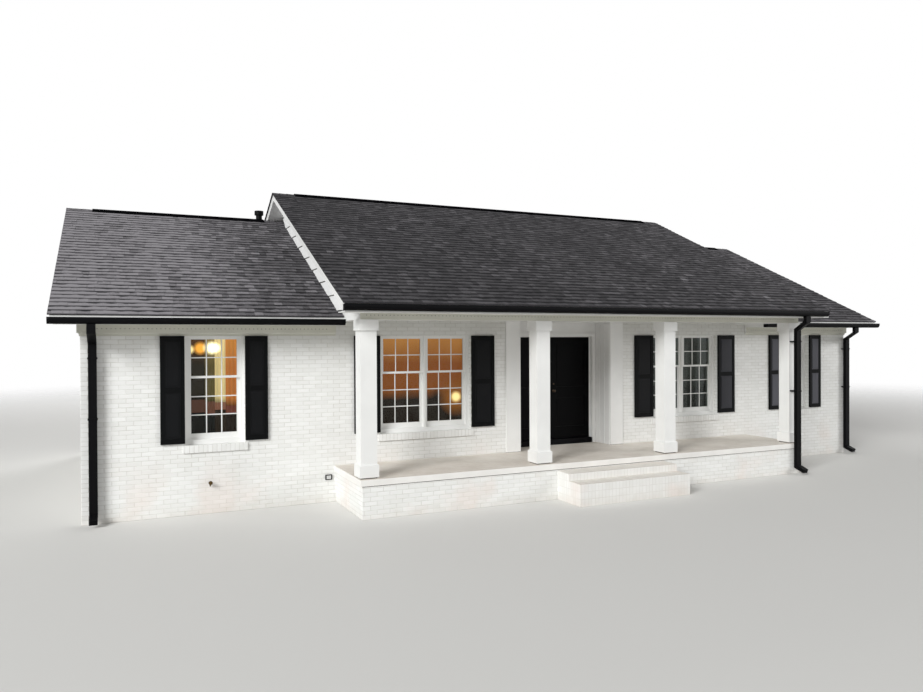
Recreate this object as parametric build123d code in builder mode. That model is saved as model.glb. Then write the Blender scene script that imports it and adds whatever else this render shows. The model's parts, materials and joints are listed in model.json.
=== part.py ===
from build123d import *
import os
from math import cos, radians, sin

os.makedirs("parts", exist_ok=True)

# Walls and floors. Millimetres, +Z up, the front towards -Y, the origin in the middle of the plan at ground level
house_length = 16000
house_depth = 8170
wall_thickness = 240
porch_floor = 600
room_floor = 690
room_height = 2440
ceiling_depth = 90

# Roofs: each seat is how deep the rafters are notched over what carries them
roof_rise = 0.472
shingle_depth = 16
rafter_depth = 140
wing_seat = 50
wing_overhang = 550
wing_fascia = 136
main_lift = 165
main_seat = 50
main_overhang = 437
main_fascia = 140
rake_overhang = 380
rake_drop = 140
board = 20
shingle_lip = 25
soffit_depth = 15
gable_thickness = 120
drip_height = 30
drip_depth = 14

# Frieze under the wing soffits: a flat band, a cove and a step
frieze_height = 168
frieze_depth = 45
frieze_step = 15
frieze_return = 200

# Vents on the ridges, and the flue through the left wing's rear slope
vent_reach = 150
vent_depth = 22
vent_end = 450
flue_inset = 450
flue_behind = 520
flue_radius = 65
flue_height = 525
flue_cap_height = 90
flue_cap_rim = 30
flue_gap = 0.5

# Porch, measured from the house's left front corner and forwards of the front wall
porch_left = 3790
left_bay = 3047
middle_bay = 2675
right_bay = 3131
column_side = 254
column_front = 1413
column_base_height = 200
column_base_gap = 18
column_bevel = 20
column_cap_height = 165
column_lip = 12
column_trim = 24
beam_bottom = 2996
porch_ceiling_height = 3020
slab_margin = 88
slab_depth = 95
slab_nosing = 20
slab_side = 30

# Steps up to the porch
step_width = 2240
step_rise = 120
step_run = 330
step_count = 2

# Entry recess and its pair of doors
entry_centre = 8315
entry_width = 2030
recess_depth = 475
recess_wall = 140
pilaster_width = 300
pilaster_depth = 30
leaf_width = 914
leaf_height = 2032
leaf_thickness = 45
door_gap = 5
meeting_gap = 8
jamb = 30
door_casing = 65
threshold_height = 15
stop_depth = 15
hinge_count = 3
hinge_height = 100
hinge_radius = 6.5
pin_radius = 3
pin_clearance = 0.3
hinge_plate = 2
hinge_reach = 35
leaf_stile = 115
leaf_bottom_rail = 235
leaf_lock_rail = 190
leaf_lock_height = 840
panel_recess = 10
panel_margin = 35
panel_raise = 6
casing_depth = 18
casing_reveal = 8
knob_height = 950
knob_radius = 26
rose_radius = 30
knob_set_in = 65
knob_neck = 9
rose_depth = 7
knob_rim = 34
knob_end = 62

# Windows: the hole in the wall, then the frame and two sashes in it; each stands off its nearer corner
window_sill = 1075
window_head = 2755
window_set_back = 100
frame_depth = 120
frame_side = 50
frame_top = 12
frame_bottom = 70
sash_width = 790
sash_stile = 50
sash_top_rail = 35
sash_bottom_rail = 90
meeting_rail = 36
sash_depth = 35
sash_step = 40
sash_set_back = 25
upper_rows = 0.4
mullion = 40
glass_thickness = 6
brick_sill_height = 115
brick_sill_depth = 30
brick_sill_side = 40
left_window = 1875
left_double = 5430
right_double = 4750
right_window = 1600

# Shutters beside the front windows
wing_shutter = 350
porch_shutter = 455
shutter_bottom = 1111
shutter_height = 1650
shutter_thickness = 40
shutter_stile = 62
shutter_rail = 85
shutter_field = 10
shutter_margin = 28
shutter_raise = 6
shutter_gap = 6

# Gutters and downspouts
gutter_height = 95
gutter_width = 120
gutter_foot = 75
gutter_rim = 30
gutter_drop = 10
gutter_stop = 137
gutter_skin = 3
spout_width = 115
spout_depth = 75
spout_gap = 5
outlet_reach = 55
outlet_drop = 105
neck_drop = 250
spout_foot = 150
shoe_reach = 190
shoe_drop = 70
strap_height = 25
strap_rim = 8
corner_spout = 160
right_outlet = 340
right_spout = 15
porch_outlet = 302
porch_spout = 175

# Low on the left wing: a vent and a hose tap
wall_vent_from_left = 3607
wall_vent_bottom = 374
wall_vent_width = 110
wall_vent_height = 83
wall_vent_depth = 25
wall_vent_rim = 14
tap_from_left = 1786
tap_height = 489
tap_reach = 85
tap_radius = 11
tap_wheel = 30

left = -house_length / 2
right = house_length / 2
front = -house_depth / 2
rear = house_depth / 2
plate = room_floor + room_height + ceiling_depth
wing_eave = plate - wing_seat + shingle_depth + rafter_depth - roof_rise * wing_overhang
main_eave = wing_eave + main_lift
wing_soffit = wing_eave - wing_fascia
main_soffit = main_eave - main_fascia
main_left = left + porch_left
main_right = main_left + left_bay + middle_bay + right_bay + column_side
beam_face = front - column_front
beam_back = beam_face + column_side
entry_left = left + entry_centre - entry_width / 2
entry_right = entry_left + entry_width


def block(x_low, x_high, y_low, y_high, z_low, z_high, mode=Mode.ADD):
    with BuildSketch(Plane.XY.offset(z_low)) as outline:
        with Locations(((x_low + x_high) / 2, (y_low + y_high) / 2)):
            Rectangle(x_high - x_low, y_high - y_low)
    extrude(outline.sketch, amount=z_high - z_low, mode=mode)


def section(points, x_low, x_high, mode=Mode.ADD):
    # An outline given in Y and Z, run along X
    with BuildSketch(Plane.YZ.offset(x_low)) as outline:
        with BuildLine():
            Polyline(*points, close=True)
        make_face()
    extrude(outline.sketch, amount=x_high - x_low, mode=mode)


def facing(x, y, angle):
    # The outer face of a wall: its X runs along the wall, its Y is up, and it looks outwards
    turn = radians(angle)
    return Plane(origin=(x, y, 0), x_dir=(cos(turn), sin(turn), 0), z_dir=(sin(turn), -cos(turn), 0))


def panel(plane, x_low, x_high, z_low, z_high, depth, thickness, mode=Mode.ADD):
    # A flat piece on a wall face, from depth behind the face to depth + thickness
    with BuildSketch(plane.offset(-depth)) as outline:
        with Locations(((x_low + x_high) / 2, (z_low + z_high) / 2)):
            Rectangle(x_high - x_low, z_high - z_low)
    extrude(outline.sketch, amount=-thickness, mode=mode)


def finish(piece, name):
    piece.part.label = name
    export_step(piece.part, f"parts/{name}.step")


# Windows: where each stands, whether it is a pair, and how wide its shutters are
windows = [
    (facing(left + left_window, front, 0), False, wing_shutter),
    (facing(left + left_double, front, 0), True, porch_shutter),
    (facing(right - right_double, front, 0), True, porch_shutter),
    (facing(right - right_window, front, 0), False, wing_shutter),
    (facing(left + left_window, rear, 180), False, None),
    (facing(left + left_double, rear, 180), True, None),
    (facing(right - right_double, rear, 180), True, None),
    (facing(right - right_window, rear, 180), False, None),
    (facing(left, 0, 270), False, None),
    (facing(right, 0, 90), False, None),
]


def window_width(paired):
    return 2 * frame_side + sash_width + (sash_width + mullion if paired else 0)


def cut_windows(chosen):
    for plane, paired, _ in chosen:
        half = window_width(paired) / 2
        panel(plane, -half, half, window_sill, window_head, 0, wall_thickness, Mode.SUBTRACT)


# Brick walls, in pieces beside the entry, with the windows cut through them
with BuildPart() as front_wall_left:
    block(left, entry_left, front, front + wall_thickness, 0, plate)
    cut_windows(windows[0:2])
finish(front_wall_left, "front_wall_left")

with BuildPart() as front_wall_right:
    block(entry_right, right, front, front + wall_thickness, 0, plate)
    cut_windows(windows[2:4])
finish(front_wall_right, "front_wall_right")

rear_seat = main_eave + roof_rise * wing_overhang - shingle_depth - rafter_depth + main_seat
with BuildPart() as rear_wall:
    block(left, right, rear - wall_thickness, rear, 0, plate)
    block(main_left, main_right, rear - wall_thickness, rear, plate, rear_seat)
    cut_windows(windows[4:8])
finish(rear_wall, "rear_wall")

with BuildPart() as left_end_wall:
    block(left, left + wall_thickness, front + wall_thickness, rear - wall_thickness, 0, plate)
    cut_windows(windows[8:9])
finish(left_end_wall, "left_end_wall")

with BuildPart() as right_end_wall:
    block(right - wall_thickness, right, front + wall_thickness, rear - wall_thickness, 0, plate)
    cut_windows(windows[9:10])
finish(right_end_wall, "right_end_wall")

# Floor and ceiling between the walls; the floor stops round the entry recess
recess_back = front + recess_depth
inner_face = recess_back + recess_wall
with BuildPart() as floor_slab:
    block(left + wall_thickness, right - wall_thickness, front + wall_thickness, rear - wall_thickness, 0, room_floor)
    block(
        entry_left - recess_wall,
        entry_right + recess_wall,
        front + wall_thickness,
        inner_face,
        0,
        room_floor,
        Mode.SUBTRACT,
    )
finish(floor_slab, "floor_slab")

with BuildPart() as ceiling:
    block(
        left + wall_thickness,
        right - wall_thickness,
        front + wall_thickness,
        rear - wall_thickness,
        plate - ceiling_depth,
        plate,
    )
finish(ceiling, "ceiling")

# Entry recess: side walls, the wall over the doors and the lintel in the front wall
with BuildPart() as entry_side_walls:
    for x in (entry_left - recess_wall, entry_right):
        block(x, x + recess_wall, front + wall_thickness, inner_face, 0, plate - ceiling_depth)
finish(entry_side_walls, "entry_side_walls")

frame_top_z = room_floor + threshold_height + door_gap + leaf_height + door_gap + jamb
with BuildPart() as entry_header:
    block(entry_left, entry_right, recess_back, inner_face, frame_top_z, plate - ceiling_depth)
finish(entry_header, "entry_header")

with BuildPart() as entry_lintel:
    block(
        entry_left,
        entry_right,
        front,
        front + wall_thickness,
        porch_ceiling_height + board,
        plate,
    )
finish(entry_lintel, "entry_lintel")

with BuildPart() as pilasters:
    for x in (entry_left - pilaster_width, entry_right):
        block(x, x + pilaster_width, front - pilaster_depth, front, porch_floor, porch_ceiling_height)
finish(pilasters, "pilasters")


# Roofs. Each is a ridged section: shingles over rafters, cut level over the soffit and notched on its seats
class Roof:
    def __init__(self, eave_front, eave_height, seat_front, seat_rear):
        self.eave_front = eave_front
        self.eave_rear = rear + wing_overhang
        self.ridge = (self.eave_front + self.eave_rear) / 2
        self.eave_height = eave_height
        self.seats = (seat_front, seat_rear)

    def top(self, y):
        return self.eave_height + roof_rise * (self.ridge - self.eave_front - abs(y - self.ridge))

    def under(self, y):
        return self.top(y) - shingle_depth - rafter_depth

    def crossing(self, z, side):
        # Where the rafters' underside passes the height z, on the front (-1) or the rear (1) slope
        return self.ridge + side * (self.under(self.ridge) - z) / roof_rise


wing = Roof(front - wing_overhang, wing_eave, (front, plate), (rear, plate))
beam_top = main_eave + roof_rise * main_overhang - shingle_depth - rafter_depth + main_seat
main = Roof(beam_face - main_overhang, main_eave, (beam_face, beam_top), (rear, rear_seat))


def tail(roof, side, soffit):
    # Points of one rafter tail and its seat, from the eave inwards
    eave = roof.eave_front if side < 0 else roof.eave_rear
    end = eave - side * (shingle_lip + board)
    seat_y, seat_z = roof.seats[0] if side < 0 else roof.seats[1]
    level = soffit + soffit_depth
    return [
        (end, roof.top(end) - shingle_depth),
        (end, level),
        (roof.crossing(level, side), level),
        (seat_y, roof.under(seat_y)),
        (seat_y, seat_z),
        (roof.crossing(seat_z, side), seat_z),
    ]


def rafters(roof, soffit, x_low, x_high):
    rise = [(roof.ridge, roof.under(roof.ridge))]
    top = [(roof.ridge, roof.top(roof.ridge) - shingle_depth)]
    section(tail(roof, -1, soffit) + rise + tail(roof, 1, soffit)[::-1] + top, x_low, x_high)


def shingles(roof, x_low, x_high):
    outer = [(y, roof.top(y)) for y in (roof.eave_front, roof.ridge, roof.eave_rear)]
    inner = [(y, z - shingle_depth) for y, z in outer]
    section(outer + inner[::-1], x_low, x_high)


rake_left = left - rake_overhang
rake_right = right + rake_overhang
main_rake_left = main_left - rake_overhang
main_rake_right = main_right + rake_overhang
lip = shingle_lip + board

with BuildPart() as wing_roofs:
    rafters(wing, wing_soffit, rake_left + lip, main_left)
    rafters(wing, wing_soffit, main_right, rake_right - lip)
finish(wing_roofs, "wing_roofs")

with BuildPart() as main_roof:
    rafters(main, main_soffit, main_rake_left + lip, main_rake_right - lip)
finish(main_roof, "main_roof")

with BuildPart() as wing_shingles:
    shingles(wing, rake_left, main_left)
    shingles(wing, main_right, rake_right)
finish(wing_shingles, "wing_shingles")

with BuildPart() as main_shingles:
    shingles(main, main_rake_left, main_rake_right)
finish(main_shingles, "main_shingles")


# Vents along the three ridges
def ridge_vent(roof, x_low, x_high):
    foot = [(roof.ridge + side * vent_reach, roof.top(roof.ridge + vent_reach)) for side in (-1, 1)]
    raised = [(y, z + vent_depth) for y, z in foot]
    peak = roof.top(roof.ridge)
    section([foot[0], (roof.ridge, peak), foot[1], raised[1], (roof.ridge, peak + vent_depth), raised[0]], x_low, x_high)


with BuildPart() as ridge_vents:
    ridge_vent(wing, rake_left + vent_end, main_left - vent_end)
    ridge_vent(main, main_rake_left + vent_end, main_rake_right - vent_end)
    ridge_vent(wing, main_right + vent_end, rake_right - vent_end)
finish(ridge_vents, "ridge_vents")


# Gable walls: the ends of the house, and those of the higher middle roof above the wings
def end_gable(x):
    points = [(wing.crossing(plate, -1), plate), (wing.ridge, wing.under(wing.ridge)), (wing.crossing(plate, 1), plate)]
    section(points, x, x + gable_thickness)


def main_gable(x):
    inside = rear - wall_thickness
    points = [
        (beam_back, plate),
        (beam_back, main.under(beam_back)),
        (main.ridge, main.under(main.ridge)),
        (inside, main.under(inside)),
        (inside, plate),
    ]
    section(points, x, x + gable_thickness)


with BuildPart() as end_gables:
    end_gable(left)
    end_gable(right - gable_thickness)
finish(end_gables, "end_gables")

with BuildPart() as main_gables:
    main_gable(main_left)
    main_gable(main_right - gable_thickness)
finish(main_gables, "main_gables")


# Boards that close the eaves: fascias, soffits, friezes, and the rake boards up the gables
def fascia(roof, side, soffit, x_low, x_high):
    eave = roof.eave_front if side < 0 else roof.eave_rear
    outer = eave - side * shingle_lip
    inner = outer - side * board
    block(x_low, x_high, min(outer, inner), max(outer, inner), soffit, roof.eave_height - shingle_depth)


def soffit_board(roof, side, soffit, wall_face, x_low, x_high):
    eave = roof.eave_front if side < 0 else roof.eave_rear
    inner = eave - side * lip
    block(x_low, x_high, min(wall_face, inner), max(wall_face, inner), soffit, soffit + soffit_depth)


def rake_board(roof, x):
    ys = (roof.eave_front + lip, roof.ridge, roof.eave_rear - lip)
    outer = [(y, roof.top(y) - shingle_depth) for y in ys]
    inner = [(y, z - rake_drop) for y, z in outer]
    section(outer + inner[::-1], x, x + board)


wing_spans = ((rake_left + shingle_lip, main_left), (main_right, rake_right - shingle_lip))
main_span = (main_rake_left + shingle_lip, main_rake_right - shingle_lip)

with BuildPart() as fascias:
    for side in (-1, 1):
        for x_low, x_high in wing_spans:
            fascia(wing, side, wing_soffit, x_low, x_high)
        fascia(main, side, main_soffit, *main_span)
finish(fascias, "fascias")

with BuildPart() as drip_edges:
    drip_top = wing_eave - shingle_depth
    for eave, side in ((wing.eave_front, -1), (wing.eave_rear, 1)):
        outer = eave - side * (shingle_lip - drip_depth)
        inner = eave - side * shingle_lip
        for x_low, x_high in wing_spans:
            block(x_low, x_high, min(outer, inner), max(outer, inner), drip_top - drip_height, drip_top)
finish(drip_edges, "drip_edges")

with BuildPart() as soffits:
    for side, wall_face in ((-1, front), (1, rear)):
        soffit_board(wing, side, wing_soffit, wall_face, rake_left + lip, main_left)
        soffit_board(wing, side, wing_soffit, wall_face, main_right, rake_right - lip)
    soffit_board(main, -1, main_soffit, beam_face, main_rake_left + lip, main_rake_right - lip)
    soffit_board(main, 1, main_soffit, rear, main_left, main_right)
    level = wing_soffit + soffit_depth
    for side, wall_face in ((-1, front), (1, rear)):
        closure = [(wing.crossing(level, side), level), (wall_face, level), (wall_face, wing.under(wall_face))]
        section(closure, main_left - board, main_left)
        section(closure, main_right, main_right + board)
finish(soffits, "soffits")

# The frieze's outline up a wall face, as lines of the sketch that is open
def moulded_edge(face, side, low, high):
    foot = face + side * frieze_step
    outer = face + side * frieze_depth
    cove = frieze_depth - frieze_step
    start = low + frieze_step
    slant = cove * sin(radians(45))
    Polyline((face, low), (foot, low), (foot, start))
    ThreePointArc((foot, start), (outer - side * slant, start + slant), (outer, start + cove))
    Line((outer, start + cove), (outer, high))


def frieze_outline(plane, low_face, high_face, low, high):
    with BuildSketch(plane) as outline:
        with BuildLine():
            moulded_edge(low_face, -1, low, high)
            moulded_edge(high_face, 1, low, high)
            Line((low_face, low), (high_face, low))
            Line((low_face - frieze_depth, high), (high_face + frieze_depth, high))
        make_face()
    return outline.sketch


# The wings' friezes turn each corner of the house with a mitre and stop a little way along the end wall
frieze_low = wing_soffit - frieze_height
with BuildPart() as friezes:
    for y_low, y_high in ((front - frieze_depth, front + frieze_return), (rear - frieze_return, rear + frieze_depth)):
        elevation = frieze_outline(Plane.XZ.offset(-y_low), left, right, frieze_low, wing_soffit)
        extrude(elevation, amount=y_low - y_high)
    cross = frieze_outline(Plane.YZ.offset(left - frieze_depth), front, rear, frieze_low, wing_soffit)
    extrude(cross, amount=house_length + 2 * frieze_depth, mode=Mode.INTERSECT)
    block(left, right, front, rear, frieze_low, wing_soffit, Mode.SUBTRACT)
    block(main_left, main_right, front - frieze_depth, rear + frieze_depth, frieze_low, wing_soffit, Mode.SUBTRACT)
    core = main_soffit - frieze_height
    middle = frieze_outline(Plane.YZ.offset(main_left), front, rear, core, main_soffit)
    extrude(middle, amount=main_right - main_left)
    block(main_left, main_right, front - frieze_depth, rear, core, main_soffit, Mode.SUBTRACT)
finish(friezes, "friezes")

with BuildPart() as rake_boards:
    rake_board(wing, rake_left + shingle_lip)
    rake_board(wing, rake_right - shingle_lip - board)
    rake_board(main, main_rake_left + shingle_lip)
    rake_board(main, main_rake_right - shingle_lip - board)
finish(rake_boards, "rake_boards")

# Porch: a brick base under a nosed slab that runs into the entry recess, then steps, columns, beam and ceiling
slab_face = beam_face - slab_margin
base_face = slab_face + slab_nosing
slab_top = porch_floor
slab_bottom = porch_floor - slab_depth
with BuildPart() as porch_base:
    block(main_left, main_right, base_face, front, 0, slab_bottom)
    block(entry_left, entry_right, front, inner_face, 0, slab_bottom)
finish(porch_base, "porch_base")

with BuildPart() as porch_slab:
    block(main_left - slab_side, main_right + slab_side, slab_face, front, slab_bottom, slab_top)
    block(entry_left, entry_right, front, inner_face, slab_bottom, slab_top)
finish(porch_slab, "porch_slab")

step_middle = left + entry_centre
with BuildPart() as entry_steps:
    points = [(base_face, 0)]
    for count in range(step_count, 0, -1):
        face = slab_face - count * step_run
        top = porch_floor - count * step_rise
        points += [(face, points[-1][1] if count < step_count else 0), (face, top)]
    points += [(base_face, porch_floor - step_rise)]
    section(points, step_middle - step_width / 2, step_middle + step_width / 2)
finish(entry_steps, "entry_steps")

column_lefts = [main_left]
for bay in (left_bay, middle_bay, right_bay):
    column_lefts.append(column_lefts[-1] + bay)

trimmed = column_side + 2 * column_trim
lipped = trimmed + column_lip
column_spots = [(x + column_side / 2, beam_face + column_side / 2) for x in column_lefts]
cap_bottom = beam_bottom - column_cap_height
bevel_bottom = porch_floor + column_base_height
with BuildPart() as columns:
    for side, low, height, taper in (
        (column_side, porch_floor, beam_bottom - porch_floor, 0),
        (trimmed, porch_floor + column_base_gap, column_base_height - column_base_gap, 0),
        (trimmed, bevel_bottom, column_bevel, 45),
        (trimmed, cap_bottom, column_cap_height, 0),
        (lipped, cap_bottom, column_lip, 0),
    ):
        with BuildSketch(Plane.XY.offset(low)):
            with Locations(*column_spots):
                Rectangle(side, side)
        extrude(amount=height, taper=taper)
finish(columns, "columns")

with BuildPart() as porch_beam:
    block(main_left, main_right, beam_face, beam_back, beam_bottom, beam_top)
finish(porch_beam, "porch_beam")

with BuildPart() as porch_side_beams:
    for x in (main_left, main_right - column_side):
        block(x, x + column_side, beam_back, front, beam_bottom, plate)
finish(porch_side_beams, "porch_side_beams")

with BuildPart() as porch_ceiling:
    ceiling_left = main_left + column_side
    ceiling_right = main_right - column_side
    block(ceiling_left, ceiling_right, beam_back, front, porch_ceiling_height, porch_ceiling_height + board)
    block(entry_left, entry_right, front, recess_back, porch_ceiling_height, porch_ceiling_height + board)
finish(porch_ceiling, "porch_ceiling")


# Window frames, sashes and panes
frame_low = window_sill + frame_bottom
frame_high = window_head - frame_top
glass_low = frame_low + sash_bottom_rail
glass_high = frame_high - sash_top_rail
meeting = glass_high - upper_rows * (glass_high - glass_low)


def unit_centres(paired):
    half_pitch = (sash_width + mullion) / 2
    return (-half_pitch, half_pitch) if paired else (0,)


with BuildPart() as window_frames:
    for plane, paired, _ in windows:
        half = window_width(paired) / 2
        panel(plane, -half, half, window_sill, window_head, window_set_back, frame_depth)
        for x in unit_centres(paired):
            reach = sash_width / 2
            panel(plane, x - reach, x + reach, frame_low, frame_high, window_set_back, frame_depth, Mode.SUBTRACT)
finish(window_frames, "window_frames")

upper_depth = window_set_back + sash_set_back
lower_depth = upper_depth + sash_step
sash_inner = sash_width / 2 - sash_stile


def sash(plane, x, depth, low, high, glass_bottom, glass_top):
    panel(plane, x - sash_width / 2, x + sash_width / 2, low, high, depth, sash_depth)
    panel(plane, x - sash_inner, x + sash_inner, glass_bottom, glass_top, depth, sash_depth, Mode.SUBTRACT)


with BuildPart() as window_sashes:
    for plane, paired, _ in windows:
        for x in unit_centres(paired):
            half_rail = meeting_rail / 2
            sash(plane, x, upper_depth, meeting - half_rail, frame_high, meeting + half_rail, glass_high)
            sash(plane, x, lower_depth, frame_low, meeting + half_rail, glass_low, meeting - half_rail)
finish(window_sashes, "window_sashes")

with BuildPart() as window_glass:
    pane_depth = (sash_depth - glass_thickness) / 2
    for plane, paired, _ in windows:
        for x in unit_centres(paired):
            low, high = meeting + meeting_rail / 2, glass_high
            panel(plane, x - sash_inner, x + sash_inner, low, high, upper_depth + pane_depth, glass_thickness)
            low, high = glass_low, meeting - meeting_rail / 2
            panel(plane, x - sash_inner, x + sash_inner, low, high, lower_depth + pane_depth, glass_thickness)
finish(window_glass, "window_glass")

with BuildPart() as window_sills:
    for plane, paired, _ in windows:
        half = window_width(paired) / 2 + brick_sill_side
        low = window_sill - brick_sill_height
        panel(plane, -half, half, low, window_sill, -brick_sill_depth, brick_sill_depth)
finish(window_sills, "window_sills")

# Shutters with two raised fields each
with BuildPart() as shutters:
    for plane, paired, width in windows[0:4]:
        for side in (-1, 1):
            near = window_width(paired) / 2 + shutter_gap
            x_low = near if side > 0 else -near - width
            x_high = x_low + width
            top = shutter_bottom + shutter_height
            panel(plane, x_low, x_high, shutter_bottom, top, -shutter_thickness, shutter_thickness)
            half = (shutter_height - 3 * shutter_rail) / 2
            for row in range(2):
                low = shutter_bottom + shutter_rail + row * (half + shutter_rail)
                panel(
                    plane,
                    x_low + shutter_stile,
                    x_high - shutter_stile,
                    low,
                    low + half,
                    -shutter_thickness,
                    shutter_field,
                    Mode.SUBTRACT,
                )
                inset = shutter_stile + shutter_margin
                panel(
                    plane,
                    x_low + inset,
                    x_high - inset,
                    low + shutter_margin,
                    low + half - shutter_margin,
                    shutter_field - shutter_thickness - shutter_raise,
                    shutter_raise,
                )
finish(shutters, "shutters")

# Door frame: jambs and head with stops, a casing in front, and the threshold
door_half = leaf_width + meeting_gap / 2 + door_gap
leaf_back = inner_face
leaf_front = leaf_back - leaf_thickness
leaf_low = room_floor + threshold_height + door_gap
leaf_high = leaf_low + leaf_height
door_middle = left + entry_centre
with BuildPart() as door_frame:
    block(
        door_middle - door_half - jamb,
        door_middle + door_half + jamb,
        recess_back,
        inner_face,
        slab_top,
        frame_top_z,
    )
    block(
        door_middle - door_half,
        door_middle + door_half,
        recess_back,
        inner_face,
        slab_top,
        leaf_high + door_gap,
        Mode.SUBTRACT,
    )
    stop_back = leaf_front - door_gap
    block(
        door_middle - door_half,
        door_middle + door_half,
        stop_back - stop_depth,
        stop_back,
        leaf_high + door_gap - stop_depth,
        leaf_high + door_gap,
    )
    for x in (door_middle - door_half, door_middle + door_half - stop_depth):
        block(x, x + stop_depth, stop_back - stop_depth, stop_back, slab_top, leaf_high + door_gap)
    casing_face = recess_back - casing_depth
    casing_inner = door_half + casing_reveal
    casing_outer = casing_inner + door_casing
    casing_low = leaf_high + door_gap + casing_reveal
    casing_high = casing_low + door_casing
    for side in (-1, 1):
        edges = sorted((door_middle + side * casing_inner, door_middle + side * casing_outer))
        block(*edges, casing_face, recess_back, slab_top, casing_high)
    block(door_middle - casing_outer, door_middle + casing_outer, casing_face, recess_back, casing_low, casing_high)
finish(door_frame, "door_frame")

with BuildPart() as threshold:
    block(door_middle - door_half, door_middle + door_half, stop_back, inner_face, slab_top, room_floor + threshold_height)
    block(
        door_middle - door_half + stop_depth,
        door_middle + door_half - stop_depth,
        recess_back - board,
        stop_back,
        slab_top,
        room_floor + threshold_height,
    )
finish(threshold, "threshold")

with BuildPart() as entry_panels:
    for x_low, x_high in (
        (entry_left, door_middle - door_half - jamb),
        (door_middle + door_half + jamb, entry_right),
    ):
        block(x_low, x_high, recess_back, inner_face, slab_top, frame_top_z)
finish(entry_panels, "entry_panels")


# Door leaves and their hinges; each hinge has its lower knuckle and the pin on the jamb, its upper knuckle on the leaf
def hinge_heights():
    inset = leaf_height / 8
    step = (leaf_height - 2 * inset) / (hinge_count - 1)
    return [leaf_low + inset + n * step for n in range(hinge_count)]


pin_y = leaf_back + hinge_radius + 0.5
knuckle = hinge_height / 2


def pin_x(side):
    return door_middle + side * (door_half - door_gap / 2)


def knuckle_at(side, z, height, radius, mode=Mode.ADD):
    with BuildSketch(Plane.XY.offset(z)) as ring:
        with Locations((pin_x(side), pin_y)):
            Circle(radius)
    extrude(ring.sketch, amount=height, mode=mode)


with BuildPart() as frame_hinges:
    for side in (-1, 1):
        wall_x = door_middle + side * door_half
        plate_x = wall_x - side * hinge_plate
        for z in hinge_heights():
            low = z - hinge_height / 2
            knuckle_at(side, low, hinge_height, pin_radius)
            knuckle_at(side, low, knuckle - pin_clearance, hinge_radius)
            block(
                min(wall_x, plate_x),
                max(wall_x, plate_x),
                leaf_back - hinge_reach,
                pin_y,
                low,
                low + knuckle - pin_clearance,
            )
finish(frame_hinges, "frame_hinges")

for side, name in ((-1, "left_door"), (1, "right_door")):
    hinge_edge = door_middle + side * (door_half - door_gap)
    meeting_edge = door_middle + side * meeting_gap / 2
    with BuildPart() as leaf:
        low_edge, high_edge = min(hinge_edge, meeting_edge), max(hinge_edge, meeting_edge)
        block(low_edge, high_edge, leaf_front, leaf_back, leaf_low, leaf_high)
        lock_low = leaf_low + leaf_lock_height
        for low, high in (
            (leaf_low + leaf_bottom_rail, lock_low),
            (lock_low + leaf_lock_rail, leaf_high - leaf_stile),
        ):
            x_low, x_high = low_edge + leaf_stile, high_edge - leaf_stile
            block(x_low, x_high, leaf_front, leaf_front + panel_recess, low, high, Mode.SUBTRACT)
            block(x_low, x_high, leaf_back - panel_recess, leaf_back, low, high, Mode.SUBTRACT)
            block(
                x_low + panel_margin,
                x_high - panel_margin,
                leaf_front + panel_recess - panel_raise,
                leaf_back - panel_recess + panel_raise,
                low + panel_margin,
                high - panel_margin,
            )
    finish(leaf, name)

    with BuildPart() as leaf_hinges:
        plate_x = hinge_edge + side * hinge_plate
        for z in hinge_heights():
            start = z - hinge_height / 2 + knuckle
            knuckle_at(side, start, knuckle - pin_clearance, hinge_radius)
            block(
                min(hinge_edge, plate_x),
                max(hinge_edge, plate_x),
                leaf_back - hinge_reach,
                pin_y,
                start,
                start + knuckle - pin_clearance,
            )
            knuckle_at(side, start, knuckle - pin_clearance, pin_radius + pin_clearance, Mode.SUBTRACT)
    finish(leaf_hinges, f"{name}_hinges")

    with BuildPart() as knob:
        knob_x = meeting_edge + side * knob_set_in
        with BuildSketch(Plane.YZ.offset(knob_x)) as half_outline:
            for face, out in ((leaf_front, -1), (leaf_back, 1)):
                rim, end = face + out * knob_rim, face + out * knob_end
                with BuildLine():
                    rose = face + out * rose_depth
                    Polyline((face, 0), (face, rose_radius), (rose, rose_radius), (rose, knob_neck))
                    Polyline((rose, knob_neck), (rim, knob_neck), (rim, knob_radius), (end, knob_radius), (end, 0), (face, 0))
                make_face()
        revolve(half_outline.sketch, axis=Axis((knob_x, 0, 0), (0, 1, 0)))
    knob.part = knob.part.moved(Location((0, 0, leaf_low + knob_height)))
    finish(knob, f"{name}_knob")


# Gutters hang on the fascias: a trough with a curved front, closed at both ends; the main roof's stop short on the right
def gutter_outline(x, back, side, low, top, skin):
    foot = back + side * (gutter_foot - skin)
    rim = back + side * (gutter_width - skin)
    base, bend = low + skin, top - gutter_rim
    slant = (foot + 2 * rim) / 3, (2 * base + bend) / 3
    with BuildSketch(Plane.YZ.offset(x)) as outline:
        with BuildLine():
            Polyline((back + side * skin, top), (back + side * skin, base), (foot, base))
            ThreePointArc((foot, base), slant, (rim, bend))
            Polyline((rim, bend), (rim, top), (back + side * skin, top))
        make_face()
    return outline.sketch


def gutter(roof, side, drop, x_low, x_high):
    back = (roof.eave_front if side < 0 else roof.eave_rear) - side * shingle_lip
    top = roof.eave_height - shingle_depth - drop
    low = top - gutter_height
    outer = gutter_outline(x_low, back, side, low, top, 0)
    extrude(outer, amount=x_high - x_low)
    inner = gutter_outline(x_low + gutter_skin, back, side, low, top, gutter_skin)
    extrude(inner, amount=x_high - x_low - 2 * gutter_skin, mode=Mode.SUBTRACT)


with BuildPart() as wing_gutters:
    for side in (-1, 1):
        gutter(wing, side, drip_height, rake_left, main_left)
        gutter(wing, side, drip_height, main_right, rake_right)
finish(wing_gutters, "wing_gutters")

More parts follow.
